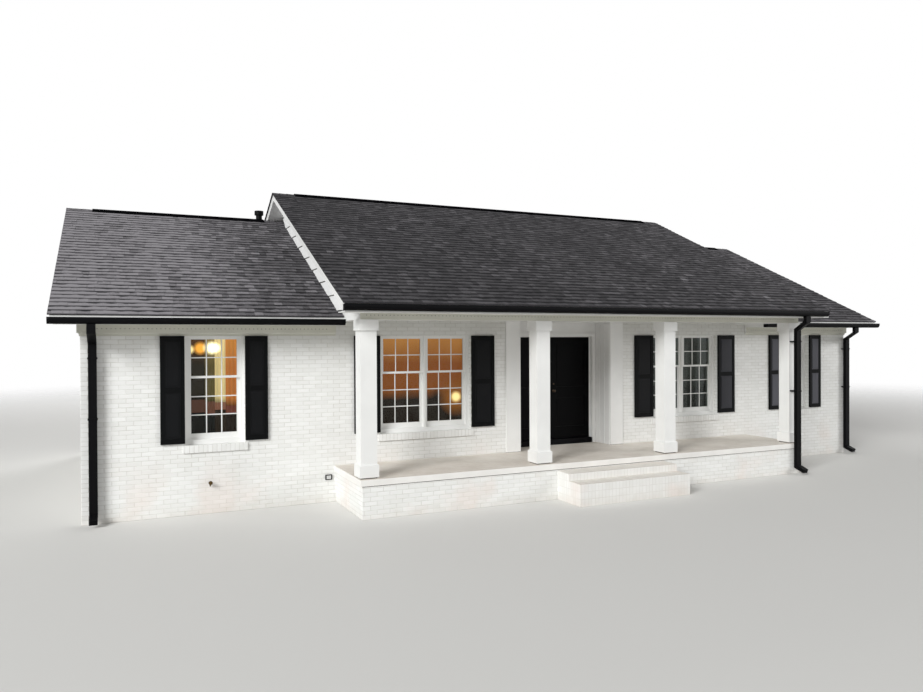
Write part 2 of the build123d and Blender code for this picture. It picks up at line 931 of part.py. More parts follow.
with BuildPart() as main_gutters:
    for side in (-1, 1):
        gutter(main, side, gutter_drop, main_rake_left, main_rake_right - gutter_stop)
finish(main_gutters, "main_gutters")


# Downspouts: from the gutter's outlet back to the wall by a swan neck, then down to a shoe, with mitred elbows and straps
def downspout(roof, side, drop, outlet_x, spout_x, spout_y, strap_face):
    outlet_y = (roof.eave_front if side < 0 else roof.eave_rear) + side * (outlet_reach - shingle_lip)
    start = roof.eave_height - shingle_depth - drop - gutter_height
    with BuildLine() as line:
        Polyline(
            (outlet_x, outlet_y, start),
            (outlet_x, outlet_y, start - outlet_drop),
            (spout_x, spout_y, start - neck_drop),
            (spout_x, spout_y, spout_foot),
            (spout_x, spout_y + side * shoe_reach, spout_foot - shoe_drop),
        )
    route = line.wires()[0]
    with BuildSketch(Plane(origin=(outlet_x, outlet_y, start), x_dir=(1, 0, 0), z_dir=(0, 0, -1))) as mouth:
        Rectangle(spout_width, spout_depth)
    sweep(mouth.sketch, path=route, transition=Transition.RIGHT)
    half = spout_width / 2 + strap_rim
    outer = spout_y + side * (spout_depth / 2 + strap_rim)
    for z in (start - 2 * neck_drop, (start + spout_foot) / 2):
        block(spout_x - half, spout_x + half, min(strap_face, outer), max(strap_face, outer), z, z + strap_height)


stand_off = frieze_depth + spout_gap + spout_depth / 2
porch_spout_y = slab_face - spout_gap - spout_depth / 2
with BuildPart() as downspouts:
    for x in (left + corner_spout, right - corner_spout):
        downspout(wing, 1, drip_height, x, x, rear + stand_off, rear)
    downspout(wing, -1, drip_height, left + corner_spout, left + corner_spout, front - stand_off, front)
    downspout(wing, -1, drip_height, right - right_outlet, right - right_spout, front - stand_off, front)
    downspout(main, -1, gutter_drop, main_right - porch_outlet, main_right - porch_spout, porch_spout_y, beam_face)
    rear_x = main_right - rake_overhang
    downspout(main, 1, gutter_drop, rear_x, rear_x, rear + stand_off, rear)
finish(downspouts, "downspouts")

# A flue through the rear slope of the left wing, with a rain cap
flue_x = main_left - flue_inset
flue_y = wing.ridge + flue_behind
flue_base = wing.top(flue_y)
cap_z = flue_base + flue_height - flue_cap_height
with BuildPart() as flue_vent:
    for radius, low, high in (
        (flue_radius, flue_base - flue_radius, cap_z),
        (flue_radius + flue_cap_rim, cap_z, cap_z + flue_cap_height),
    ):
        with BuildSketch(Plane.XY.offset(low)):
            with Locations((flue_x, flue_y)):
                Circle(radius)
        extrude(amount=high - low)
    reach = 2 * flue_radius
    ends = [(y, wing.top(y) + flue_gap) for y in (flue_y - reach, flue_y + reach)]
    section(ends + [(y, z - 2 * reach) for y, z in ends[::-1]], flue_x - reach, flue_x + reach, Mode.SUBTRACT)
finish(flue_vent, "flue_vent")

# A louvred vent and a hose tap low on the left wing
with BuildPart() as wall_vent:
    x_low = left + wall_vent_from_left
    x_high = x_low + wall_vent_width
    top = wall_vent_bottom + wall_vent_height
    block(x_low, x_high, front - wall_vent_depth, front, wall_vent_bottom, top)
    hole = (x_low + wall_vent_rim, x_high - wall_vent_rim, front - wall_vent_depth, front - wall_vent_rim)
    block(*hole, wall_vent_bottom + wall_vent_rim, top - wall_vent_rim, Mode.SUBTRACT)
finish(wall_vent, "wall_vent")

with BuildPart() as hose_tap:
    tap_x = left + tap_from_left
    tap_end = front - tap_reach
    with BuildSketch(Plane.XZ.offset(-front)):
        with Locations((tap_x, tap_height)):
            Circle(tap_radius)
    extrude(amount=tap_reach)
    with BuildSketch(Plane.XZ.offset(-tap_end)):
        with Locations((tap_x, tap_height)):
            Circle(tap_wheel)
    extrude(amount=tap_radius)
    with BuildSketch(Plane.XY.offset(tap_height - 2 * tap_wheel)):
        with Locations((tap_x, front - tap_reach / 2)):
            Circle(tap_radius)
    extrude(amount=2 * tap_wheel)
finish(hose_tap, "hose_tap")
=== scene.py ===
import json
import math
from functools import partial

import bmesh
import bpy
import numpy as np
from mathutils import Matrix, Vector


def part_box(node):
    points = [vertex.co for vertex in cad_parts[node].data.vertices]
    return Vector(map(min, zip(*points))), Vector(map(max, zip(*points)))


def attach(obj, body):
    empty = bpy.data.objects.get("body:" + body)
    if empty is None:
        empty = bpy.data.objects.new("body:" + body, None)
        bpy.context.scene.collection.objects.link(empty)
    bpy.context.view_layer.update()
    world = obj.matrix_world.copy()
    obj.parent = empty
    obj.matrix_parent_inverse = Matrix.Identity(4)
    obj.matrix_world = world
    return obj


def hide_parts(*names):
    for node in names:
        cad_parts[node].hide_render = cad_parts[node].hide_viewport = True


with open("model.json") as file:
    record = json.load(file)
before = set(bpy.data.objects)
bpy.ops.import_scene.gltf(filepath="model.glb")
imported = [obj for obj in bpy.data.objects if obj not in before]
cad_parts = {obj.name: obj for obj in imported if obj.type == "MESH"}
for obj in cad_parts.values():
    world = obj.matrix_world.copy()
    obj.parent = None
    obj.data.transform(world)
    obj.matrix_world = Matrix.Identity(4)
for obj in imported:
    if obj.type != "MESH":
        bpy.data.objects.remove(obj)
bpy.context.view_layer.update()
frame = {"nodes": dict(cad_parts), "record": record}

record = frame["record"]
slotOf = {part["node"]: part["material_slot"] for part in record["subparts"]}


# Helpers
def linear(hexColour):
    # sRGB hex to the linear colour that the shaders work with
    channels = [int(hexColour[n:n + 2], 16) / 255 for n in (1, 3, 5)]
    return tuple(c / 12.92 if c <= 0.04045 else ((c + 0.055) / 1.055) ** 2.4 for c in channels) + (1.0,)


def addNode(tree, kind, inputs=None, **settings):
    # One node with its settings; an input is a value, an output of another node, or a node that stands
    # for its first enabled output
    made = tree.nodes.new("ShaderNode" + kind)
    for key, value in settings.items():
        setattr(made, key, value)
    for key, value in (inputs or {}).items():
        if isinstance(value, bpy.types.Node):
            value = next(output for output in value.outputs if output.enabled)
        if isinstance(value, bpy.types.NodeSocket):
            tree.links.new(value, made.inputs[key])
        else:
            made.inputs[key].default_value = value
    return made


def newMaterial(name):
    # An empty material and the function that adds nodes to it
    made = bpy.data.materials.new(name)
    made.use_nodes = True
    made.node_tree.nodes.clear()
    return made, partial(addNode, made.node_tree)


# Materials
brickLength, brickCourse = 0.2032, 0.0677  # a modular brick with its joint
uprightBrick = dict(sill=0.3, riser=0.12, tread=0.33)  # height of a row of bricks on edge, or its depth on a tread
aboveAll = 9.0  # a height over the roof
# painted shadow: above the first height the joint under the slab's nosing is dark, below the others the gaps at the
# posts' and pilasters' feet
shadeEdge = dict(slab=0.492, post=0.614, pilaster=0.607)  # heights: joint below the porch slab, and the posts' feet


def paintedBrick(name, cell, course, offset=0.5, flat=False, coat="wall", seam=aboveAll):
    # Modular bricks under several coats of satin white wall paint: soft grooves at the joints, which the paint
    # fills in places. Low down it wears pinkish and takes splashes. Under the eaves it turns olive grey: painted
    # shade of the eaves, with a little dust. Above the height seam, where a slab bears on the wall, the open joint
    # is painted dark as the shadow of the slab's nosing
    made, add = newMaterial(name)
    values = dict(worn="#E8D8CF", grime="#C9C2B8", shadeAndDust="#8F8E80", gapShade="#4A4038")
    coats = dict(
        wall=("#F1F1EF", "#E9E9E6", "#CFCDC7"),
        riser=("#EFEEEB", "#E9E8E4", "#D9D6D0"),
        tread=("#EEEAE3", "#E8E3DB", "#D8D2C8"),
    )
    first, second, joint = coats[coat]
    point = add("TexCoord").outputs["Object"]
    x, y, z = add("SeparateXYZ", {0: point}).outputs
    along = x if flat else add("Math", {0: x, 1: y})
    bricks = add(
        "TexBrick",
        {
            "Vector": add("CombineXYZ", {"X": along, "Y": y if flat else z}),
            "Color1": linear(first),
            "Color2": linear(second),
            "Mortar": linear(second),
            "Scale": 1.0,
            "Mortar Size": 0.0045,
            "Mortar Smooth": 0.5,
            "Brick Width": cell,
            "Row Height": course,
        },
        offset=offset,
    )
    filled = add("TexNoise", {"Vector": point, "Scale": 5.0, "Detail": 3.0})  # 200 mm patches
    unfilled = add("MapRange", {"Value": filled, "From Min": 0.35, "From Max": 0.65, "To Min": 0.25, "To Max": 1.0})
    jointed = add("Math", {0: bricks.outputs["Fac"], 1: unfilled}, operation="MULTIPLY")
    colour = add("Mix", {0: jointed, 6: bricks.outputs["Color"], 7: linear(joint)}, data_type="RGBA")
    patches = add("TexNoise", {"Vector": point, "Scale": 1.4, "Detail": 2.0})
    low = add("MapRange", {"Value": z, "From Min": 0.95, "From Max": 0.25, "To Max": 0.4})
    bared = add("MapRange", {"Value": patches, "From Min": 0.52, "From Max": 0.68})
    worn = add("Math", {0: bared, 1: low}, operation="MULTIPLY")
    colour = add("Mix", {0: worn, 6: colour, 7: linear(values["worn"])}, data_type="RGBA")
    reach = add("Math", {0: add("TexNoise", {"Vector": point, "Scale": 5.5}), 1: 0.25, 2: z}, operation="MULTIPLY_ADD")
    splash = add("MapRange", {"Value": reach, "From Min": 0.3, "From Max": 0.1, "To Max": 0.35})
    colour = add("Mix", {0: splash, 6: colour, 7: linear(values["grime"])}, data_type="RGBA")
    # painted shade of the eaves, with a little dust: the wall turns olive grey towards its top
    eaveShadeAndDust = add("MapRange", {"Value": z, "From Min": 2.5, "From Max": 2.95, "To Max": 0.3})
    colour = add("Mix", {0: eaveShadeAndDust, 6: colour, 7: linear(values["shadeAndDust"])}, data_type="RGBA")
    # painted shadow of the slab's nosing: above the height seam the colour turns dark
    gap = add("MapRange", {"Value": z, "From Min": seam, "From Max": seam + 0.002})
    colour = add("Mix", {0: gap, 6: colour, 7: linear(values["gapShade"])}, data_type="RGBA")
    rough = add("TexNoise", {"Vector": point, "Scale": 28.0, "Detail": 4.0})  # rough faces, 35 mm, soft with paint
    groove = add("Math", {0: bricks.outputs["Fac"], 1: -0.5}, operation="MULTIPLY")
    height = add("Math", {0: rough, 1: 0.35, 2: groove}, operation="MULTIPLY_ADD")
    normal = add("Bump", {"Height": height, "Distance": 0.004, "Strength": 0.55})
    shader = add("BsdfPrincipled", {"Base Color": colour, "Roughness": 0.55, "Normal": normal})
    add("OutputMaterial", {"Surface": shader})
    return made


def plainPaint(name, hexColour, roughness, waver=0.03, grain=60, bump=0.4, gloss=0.4, foot=0.0, sheenTone="", lap=False):
    # A paint film over wood, vinyl or metal: one colour that wavers a little, with a faint grain whose length grain
    # and height bump are in millimetres. Below the height foot, where posts stand on the floor, painted shadow darkens
    # the gap; sheenTone is a lighter tone, painted sheen, towards the right end of the front; with lap, a line of
    # shadow stands at the head of each board, under the next
    made, add = newMaterial(name)
    values = dict(gapShade="#3B342D", under="#6E6C68")
    point = add("TexCoord").outputs["Object"]
    x, _, z = add("SeparateXYZ", {0: point}).outputs
    clouds = add("TexNoise", {"Vector": point, "Scale": 2.5})
    patches = add("MapRange", {"Value": clouds, "From Min": 0.3, "From Max": 0.7})
    darker = tuple(c * (1 - 4 * waver) for c in linear(hexColour)[:3]) + (1.0,)
    colour = add("Mix", {0: patches, 6: darker, 7: linear(hexColour)}, data_type="RGBA")
    # painted shadow in the gap at a post's foot: dark below the height foot
    if foot:
        gap = add("MapRange", {"Value": z, "From Min": foot, "From Max": foot - 0.003})
        colour = add("Mix", {0: gap, 6: colour, 7: linear(values["gapShade"])}, data_type="RGBA")
    # painted sheen: the colour turns lighter grey towards the right end of the front
    if sheenTone:
        sheenMask = add("MapRange", {"Value": x, "From Min": 3.6, "From Max": 5.6})
        colour = add("Mix", {0: sheenMask, 6: colour, 7: linear(sheenTone)}, data_type="RGBA")
    if lap:
        reach = add("Attribute", attribute_name="lap").outputs["Fac"]
        under = add("MapRange", {"Value": reach, "From Min": 0.925, "From Max": 0.935})
        colour = add("Mix", {0: under, 6: colour, 7: linear(values["under"])}, data_type="RGBA")
    height = add("TexNoise", {"Vector": point, "Scale": 1000 / grain, "Detail": 3.0})
    normal = add("Bump", {"Height": height, "Distance": bump / 1000, "Strength": 0.4})
    inputs = {"Base Color": colour, "Roughness": roughness, "Specular IOR Level": gloss, "Normal": normal}
    add("OutputMaterial", {"Surface": add("BsdfPrincipled", inputs)})
    return made


def asphaltShingle(name):
    # Laminated asphalt shingles: mineral granules from near black to grey. Each tab's tone is its attribute, and
    # the attribute lap, 0 at its butt and 1 at its head, lays the dark line under the next course's butts, broken
    # into dashes of some 150 mm: partly the printed shadow band of such shingles, partly painted shadow of the butts.
    # The granules are 14 mm: real ones of 1.5 mm would not show
    made, add = newMaterial(name)
    point = add("TexCoord").outputs["Object"]
    tone = add("Attribute", attribute_name="tone").outputs["Fac"]
    granules = add("TexNoise", {"Vector": point, "Scale": 70.0, "Detail": 2.0, "Roughness": 0.8})
    speckle = add("MapRange", {"Value": granules, "From Min": 0.3, "From Max": 0.7, "To Min": 0.6, "To Max": 1.4})
    weather = add("TexNoise", {"Vector": point, "Scale": 0.7, "Detail": 3.0})
    weathered = add("MapRange", {"Value": weather, "From Min": 0.3, "From Max": 0.7, "To Min": 0.8, "To Max": 1.2})
    speckled = add("Math", {0: tone, 1: speckle}, operation="MULTIPLY")
    mixed = add("Math", {0: speckled, 1: weathered}, operation="MULTIPLY")
    lap = add("Attribute", attribute_name="lap").outputs["Fac"]
    dashes = add("TexNoise", {"Vector": point, "Scale": 6.5, "Detail": 1.0})
    reach = add("Math", {0: dashes, 1: 0.7, 2: lap}, operation="MULTIPLY_ADD")
    under = add("MapRange", {"Value": reach, "From Min": 0.84, "From Max": 1.04, "To Min": 1.25, "To Max": 0.08})
    mixed = add("Math", {0: mixed, 1: under}, operation="MULTIPLY")
    colour = add("Mix", {0: mixed, 6: linear("#0F0F11"), 7: linear("#949195")}, data_type="RGBA")
    normal = add("Bump", {"Height": granules, "Distance": 0.002, "Strength": 0.6})
    inputs = {"Base Color": colour, "Roughness": 0.95, "Specular IOR Level": 0.15, "Normal": normal}
    add("OutputMaterial", {"Surface": add("BsdfPrincipled", inputs)})
    return made


def wornConcrete(name):
    # The porch floor: concrete under thin warm grey masonry paint, a little scuffed where people walk
    made, add = newMaterial(name)
    values = dict(paint="#E2DBD2", scuffed="#D8D0C6", clean="#E9E4DC")
    point = add("TexCoord").outputs["Object"]
    walked = add("TexNoise", {"Vector": point, "Scale": 2.0, "Detail": 4.0})
    scuffs = add("MapRange", {"Value": walked, "From Min": 0.42, "From Max": 0.62})
    colour = add("Mix", {0: scuffs, 6: linear(values["paint"]), 7: linear(values["scuffed"])}, data_type="RGBA")
    speckle = add("TexNoise", {"Vector": point, "Scale": 11.0})
    spots = add("MapRange", {"Value": speckle, "From Min": 0.5, "From Max": 0.7, "To Max": 0.4})
    colour = add("Mix", {0: spots, 6: colour, 7: linear(values["clean"])}, data_type="RGBA")
    pits = add("TexNoise", {"Vector": point, "Scale": 50.0, "Detail": 4.0})
    normal = add("Bump", {"Height": pits, "Distance": 0.0015, "Strength": 0.5})
    shader = add("BsdfPrincipled", {"Base Color": colour, "Roughness": 0.6, "Normal": normal})
    add("OutputMaterial", {"Surface": shader})
    return made


def brushedMetal(name, hexColour, roughness):
    # Bare metal with a fine brushed waver in its roughness
    made, add = newMaterial(name)
    brush = add("TexNoise", {"Vector": add("TexCoord").outputs["Object"], "Scale": 125.0})
    rough = add("Math", {0: brush, 1: 0.12, 2: roughness}, operation="MULTIPLY_ADD")
    shader = add("BsdfPrincipled", {"Base Color": linear(hexColour), "Metallic": 1.0, "Roughness": rough})
    add("OutputMaterial", {"Surface": shader})
    return made


def clearPane(name):
    # Window glass: clear, slightly green in the body, with a mirror that grows at a slant. It is dusty, so its
    # mirror is weaker than clean glass's
    made, add = newMaterial(name)
    mirror = add("BsdfGlossy", {"Color": linear("#F4F6F6"), "Roughness": 0.02})
    clear = add("BsdfTransparent", {"Color": linear("#EEF3F0")})
    add("OutputMaterial", {"Surface": add("MixShader", {0: add("Fresnel", {"IOR": 1.25}), 1: clear, 2: mirror})})
    return made


def sawnTimber(name):
    # Rafters and roof deck of pine, sawn: grain runs along X
    made, add = newMaterial(name)
    stretched = add("Mapping", {"Vector": add("TexCoord").outputs["Object"], "Scale": (0.08, 1.0, 1.0)})
    grain = add("TexNoise", {"Vector": stretched, "Scale": 33.0, "Detail": 4.0})
    colour = add("Mix", {0: grain, 6: linear("#8C6F49"), 7: linear("#C3A274")}, data_type="RGBA")
    normal = add("Bump", {"Height": grain, "Distance": 0.001, "Strength": 0.4})
    shader = add("BsdfPrincipled", {"Base Color": colour, "Roughness": 0.8, "Normal": normal})
    add("OutputMaterial", {"Surface": shader})
    return made


def litRoom(name, bright, dim, shade, strength, table=None, glows=()):
    # What shows behind a pane: painted wall or cloth that glows with painted lamplight above, falling off to painted
    # shade below, with a band of another colour between two heights; each glow is a painted pool of what a lamp at
    # (x, z) lights, out to a radius, and it glows the brighter by its power
    made, add = newMaterial(name)
    point = add("TexCoord").outputs["Object"]
    x, _, z = add("SeparateXYZ", {0: point}).outputs
    clouds = add("TexNoise", {"Vector": point, "Scale": 1.7, "Detail": 2.0})
    height = add("Math", {0: clouds, 1: 0.3, 2: z}, operation="MULTIPLY_ADD")
    lower = add("MapRange", {"Value": height, "From Min": 1.72, "From Max": 1.9})
    upper = add("MapRange", {"Value": height, "From Min": 2.4, "From Max": 2.9})
    colour = add("Mix", {0: lower, 6: linear(shade), 7: linear(dim)}, data_type="RGBA")
    colour = add("Mix", {0: upper, 6: colour, 7: linear(bright)}, data_type="RGBA")
    if table:
        low, high, hexColour = table
        band = add("Math", {0: z, 1: (low + high) / 2, 2: (high - low) / 2}, operation="COMPARE")
        colour = add("Mix", {0: band, 6: colour, 7: linear(hexColour)}, data_type="RGBA")
    flat = add("CombineXYZ", {"X": x, "Y": z})
    for spotX, spotZ, radius, power, hexColour in glows:
        away = add("VectorMath", {0: flat, 1: (spotX, spotZ, 0)}, operation="DISTANCE").outputs["Value"]
        glow = add("MapRange", {"Value": away, "From Min": radius, "From Max": 0.45 * radius})
        colour = add("Mix", {0: glow, 6: colour, 7: linear(hexColour)}, data_type="RGBA")
        strength = add("Math", {0: glow, 1: power, 2: strength}, operation="MULTIPLY_ADD")
    inputs = {"Base Color": colour, "Roughness": 0.8, "Emission Color": colour, "Emission Strength": strength}
    add("OutputMaterial", {"Surface": add("BsdfPrincipled", inputs)})
    return made


materials = {
    "painted_brick": paintedBrick("satin painted modular brick", brickLength, brickCourse),
    "trim": plainPaint("satin white trim paint", "#F0F0EE", 0.45, 0.015),
    "siding": plainPaint("satin white lap siding paint", "#FDFDFC", 0.5, 0.01, lap=True),
    "shingle": asphaltShingle("charcoal laminated asphalt shingle"),
    "black_metal": plainPaint("black baked enamel on aluminium", "#08080A", 0.5, 0.02, 90, 0.2, 0.08),
    "shutter": plainPaint("black moulded vinyl", "#0A0B0C", 0.5, 0.02, 40, 0.3, 0.08),
    "door_paint": plainPaint("black satin door paint", "#040405", 0.4, 0.02, 50, 0.3, 0.06),
    "window_vinyl": plainPaint("white window vinyl", "#F3F3F1", 0.35, 0.01, 120, 0.2),
    "pane": clearPane("clear window glass"),
    "concrete": wornConcrete("worn painted concrete"),
    "timber": sawnTimber("sawn pine"),
    "plaster": plainPaint("matt ceiling plaster", "#E4DED0", 0.85, 0.02, 120, 0.5),
    "steel": brushedMetal("satin nickel", "#C6C3BC", 0.28),
}
extraMaterials = {
    "rowlock": paintedBrick("painted rowlock sill bricks", brickCourse, uprightBrick["sill"], 0.0),
    "riser": paintedBrick("painted rowlock risers", brickCourse, uprightBrick["riser"], 0.0, coat="riser"),
    "tread": paintedBrick(
        "painted rowlock treads", brickCourse, uprightBrick["tread"], 0.0, flat=True, coat="tread"
    ),
    "base": paintedBrick("painted porch base brick", brickLength, brickCourse, seam=shadeEdge["slab"]),
    "post": plainPaint("satin white post paint", "#F0F0EE", 0.45, 0.015, foot=shadeEdge["post"]),
    "pilaster": plainPaint("satin white pilaster paint", "#F0F0EE", 0.45, 0.015, foot=shadeEdge["pilaster"]),
    # darker paint: painted shade of the eaves and gutters, with a little dust
    "eaveShadeAndDust": plainPaint("white trim paint, shaded and dusty under the eaves", "#D2D1C5", 0.6, 0.02),
    "edge": plainPaint("white masonry paint on the slab's edge", "#F3F1ED", 0.6, 0.02, 40, 0.8),
    # the right-hand panels turn lighter grey: painted sheen
    "panel": plainPaint("black vinyl shutter panels", "#0E0F11", 0.5, 0.02, 40, 0.3, 0.12, sheenTone="#57575D"),
    # painted shade: the dark plugs stand for the shaded insides of the vent holes
    "dark": plainPaint("vent plugs painted dark as shade", "#1B1B1A", 0.8, 0.0, gloss=0.1),
    "ridge": plainPaint("black moulded ridge vent", "#0C0C0E", 1.0, 0.0, gloss=0.0),
    "brass": brushedMetal("aged brass", "#5B4A30", 0.5),
    "bronze": brushedMetal("oiled bronze", "#4A3F36", 0.35),
    # the rooms and drapes behind the front panes glow by their own emission: painted lamplight, with no lamp
    "warmRoom": litRoom(
        "lamplit room wall",
        "#E0994A",
        "#A85C1C",
        "#2A2019",
        0.5,
        glows=[(-1.42, 1.56, 0.4, 0.0, "#B06A24"), (-1.42, 1.56, 0.13, 1.0, "#FFE09A")],
    ),
    "diningRoom": litRoom(
        "dining room wall",
        "#6A4016",
        "#27200F",
        "#0B0908",
        0.45,
        (1.46, 1.68, "#6B4538"),
        [(-6.40, 2.54, 0.1, 1.2, "#FFE2A0"), (-6.22, 2.56, 0.13, 0.9, "#F7A93E"), (-6.03, 2.57, 0.16, 1.5, "#FFF0C8")],
    ),
    "oliveDrape": litRoom(
        "olive drape in lamplight",
        "#A98C52",
        "#6E5E33",
        "#0E0B08",
        0.5,
        (1.50, 1.70, "#7A4C3A"),
        [(-6.11, 2.57, 0.13, 1.5, "#FFF3D0")],
    ),
    "creamDrape": litRoom(
        "cream drape in lamplight",
        "#FFE6AE",
        "#E6CC96",
        "#2A1D12",
        0.65,
        (1.56, 1.68, "#8C5A46"),
        [(-6.06, 2.57, 0.1, 1.5, "#FFF3D0")],
    ),
    "amberDrape": litRoom(
        "amber drape in lamplight", "#E39A48", "#CC7A36", "#21140C", 0.6, (1.50, 1.62, "#7A3E30")
    ),
    "dimRoom": litRoom("dim room wall with painted glow", "#525250", "#474745", "#2C2C2B", 0.35),
    "drape": plainPaint("closed linen drape", "#D8D3C8", 0.9, 0.03, 8, 0.6),
}
for name, node in frame["nodes"].items():
    node.data.materials.clear()
    node.data.materials.append(materials[slotOf[name]])
otherMaterial = dict(window_sills="rowlock", entry_steps="riser", porch_base="base", columns="post")
otherMaterial.update(pilasters="pilaster", hose_tap="brass", ridge_vents="ridge")
for name, other in otherMaterial.items():
    frame["nodes"][name].data.materials[0] = extraMaterials[other]


towards = 0.5  # a face looks along an axis where its normal's share there is beyond this
closeTo = 0.01  # and lies at a place when its centre is nearer than this


def faceParts(node, *parts):
    # Gives another material to the faces of a CAD node for which chosen(centres, normals) holds
    mesh = frame["nodes"][node].data
    count = len(mesh.polygons)
    centres, normals = np.empty(count * 3), np.empty(count * 3)
    mesh.polygons.foreach_get("center", centres)
    mesh.polygons.foreach_get("normal", normals)
    index = np.zeros(count, np.int32)
    for material, chosen in parts:
        mesh.materials.append(material)
        index[chosen(centres.reshape(-1, 3), normals.reshape(-1, 3))] = len(mesh.materials) - 1
    mesh.polygons.foreach_set("material_index", index)


plaster, trim = materials["plaster"], materials["trim"]
entryLow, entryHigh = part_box("entry_lintel")
leftReveal = lambda c, n: (n[:, 0] > towards) & (abs(c[:, 0] - entryLow[0]) < closeTo)
rightReveal = lambda c, n: (n[:, 0] < -towards) & (abs(c[:, 0] - entryHigh[0]) < closeTo)
faceParts("front_wall_left", (plaster, lambda c, n: n[:, 1] > towards), (trim, leftReveal))
faceParts("front_wall_right", (plaster, lambda c, n: n[:, 1] > towards), (trim, rightReveal))
faceParts("rear_wall", (plaster, lambda c, n: n[:, 1] < -towards))
faceParts("left_end_wall", (plaster, lambda c, n: n[:, 0] > towards))
faceParts("right_end_wall", (plaster, lambda c, n: n[:, 0] < -towards))
faceParts("entry_header", (plaster, lambda c, n: n[:, 1] > towards))
faceParts("entry_steps", (extraMaterials["tread"], lambda c, n: n[:, 2] > towards))
faceParts("porch_slab", (extraMaterials["edge"], lambda c, n: n[:, 2] < towards))
roofUnderside = -0.3  # a face whose normal points further down than this is part of the underside
for name in ("wing_roofs", "main_roof"):
    faceParts(name, (trim, lambda c, n: (n[:, 2] < roofUnderside) | (abs(n[:, 0]) > towards)))
# The front and rear faces of the friezes and the beam take the darker paint: painted shade under the eaves
for name in ("friezes", "porch_beam"):
    faceParts(name, (extraMaterials["eaveShadeAndDust"], lambda c, n: abs(n[:, 1]) > towards))
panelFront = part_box("shutters")[0][1] + 0.002  # the panels lie behind the shutters' frames
faceParts("shutters", (extraMaterials["panel"], lambda c, n: (n[:, 1] < -towards) & (c[:, 1] > panelFront)))
print("materials done", len(frame["nodes"]))


# Shapes
def meshOf(name, points, faces, material, body="house", smooth=False, marks=None, closed=True):
    mesh = bpy.data.meshes.new(name)
    mesh.from_pydata(points.tolist(), [], faces.tolist())
    if closed:
        work = bmesh.new()
        work.from_mesh(mesh)
        bmesh.ops.recalc_face_normals(work, faces=work.faces)
        work.to_mesh(mesh)
        work.free()
    mesh.materials.append(material)
    mesh.polygons.foreach_set("use_smooth", np.full(len(mesh.polygons), smooth))
    for key, values in (marks or {}).items():  # numbers that the material reads at each vertex
        mesh.attributes.new(key, "FLOAT", "POINT").data.foreach_set("value", np.asarray(values, np.float32))
    made = bpy.data.objects.new(name, mesh)
    bpy.context.scene.collection.objects.link(made)
    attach(made, body)
    return made


boxQuads = np.array([[0, 3, 2, 1], [4, 5, 6, 7], [0, 1, 5, 4], [1, 2, 6, 5], [2, 3, 7, 6], [3, 0, 4, 7]])


def eightCorners(points):
    # Faces of many six-sided blocks whose corners stand eight by eight in points
    count = len(points) // 8
    return (np.arange(count)[:, None, None] * 8 + boxQuads[None]).reshape(-1, 4)


def blocks(low, high, bevel):
    # Corners of many blocks in (along, up, out); each narrows by bevel towards its outer face
    unit = np.array([[0, 0, 0], [1, 0, 0], [1, 1, 0], [0, 1, 0], [0, 0, 1], [1, 0, 1], [1, 1, 1], [0, 1, 1]], float)
    points = low[:, None] + unit[None] * (high - low)[:, None]
    inward = (1 - 2 * unit[:, :2]) * unit[:, 2:]
    points[:, :, :2] += inward[None] * bevel
    return points.reshape(-1, 3)


# Outer faces of the walls: 0 where the face stands at a y or 1 at an x, that place, which way is out along
# that axis, and which way the wall's own along runs on the other
frontEdge, rearEdge, sideEdge = -4.085, 4.085, 8.0
walls = dict(
    front=(0, frontEdge, -1, 1),
    rear=(0, rearEdge, 1, -1),
    left=(1, -sideEdge, -1, -1),
    right=(1, sideEdge, 1, 1),
)


def onWall(points, wall):
    # (along, up, out) on an outer face of a wall to (x, y, z)
    axis, face, outwards, run = walls[wall]
    along, out = points[:, 0] * run, face + points[:, 2] * outwards
    return np.stack([along, out, points[:, 1]] if axis == 0 else [out, along, points[:, 1]], 1)


def gridFaces(rows, columns):
    start = (np.arange(rows - 1)[:, None] * columns + np.arange(columns - 1)[None]).reshape(-1, 1)
    return start + np.array([[0, 1, columns + 1, columns]])


# Places of the windows on their walls: wall, middle, sashes side by side
windowPlaces = [("front", -6.125, 1), ("front", -2.57, 2), ("front", 3.25, 2), ("front", 6.4, 1)]
windowPlaces += [("left", 0, 1), ("right", 0, 1)]
windowPlaces += [("rear", -6.4, 1), ("rear", -3.25, 2), ("rear", 2.57, 2), ("rear", 6.125, 1)]


# Bricks
bricks = dict(joint=0.0034, slant=0.0022, proud=0.0022, spread=0.0009, bed=0.001, least=0.008, openJoint=0.013)
openings = dict(single=0.445, double=0.86, sill=1.075, head=2.755, sillSide=0.04)
baseLow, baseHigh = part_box("porch_base")
walls.update(base=(0, baseLow[1], -1, 1), baseLeft=(1, baseLow[0], -1, -1), baseRight=(1, baseHigh[0], 1, 1))
trowel = np.random.default_rng(5)


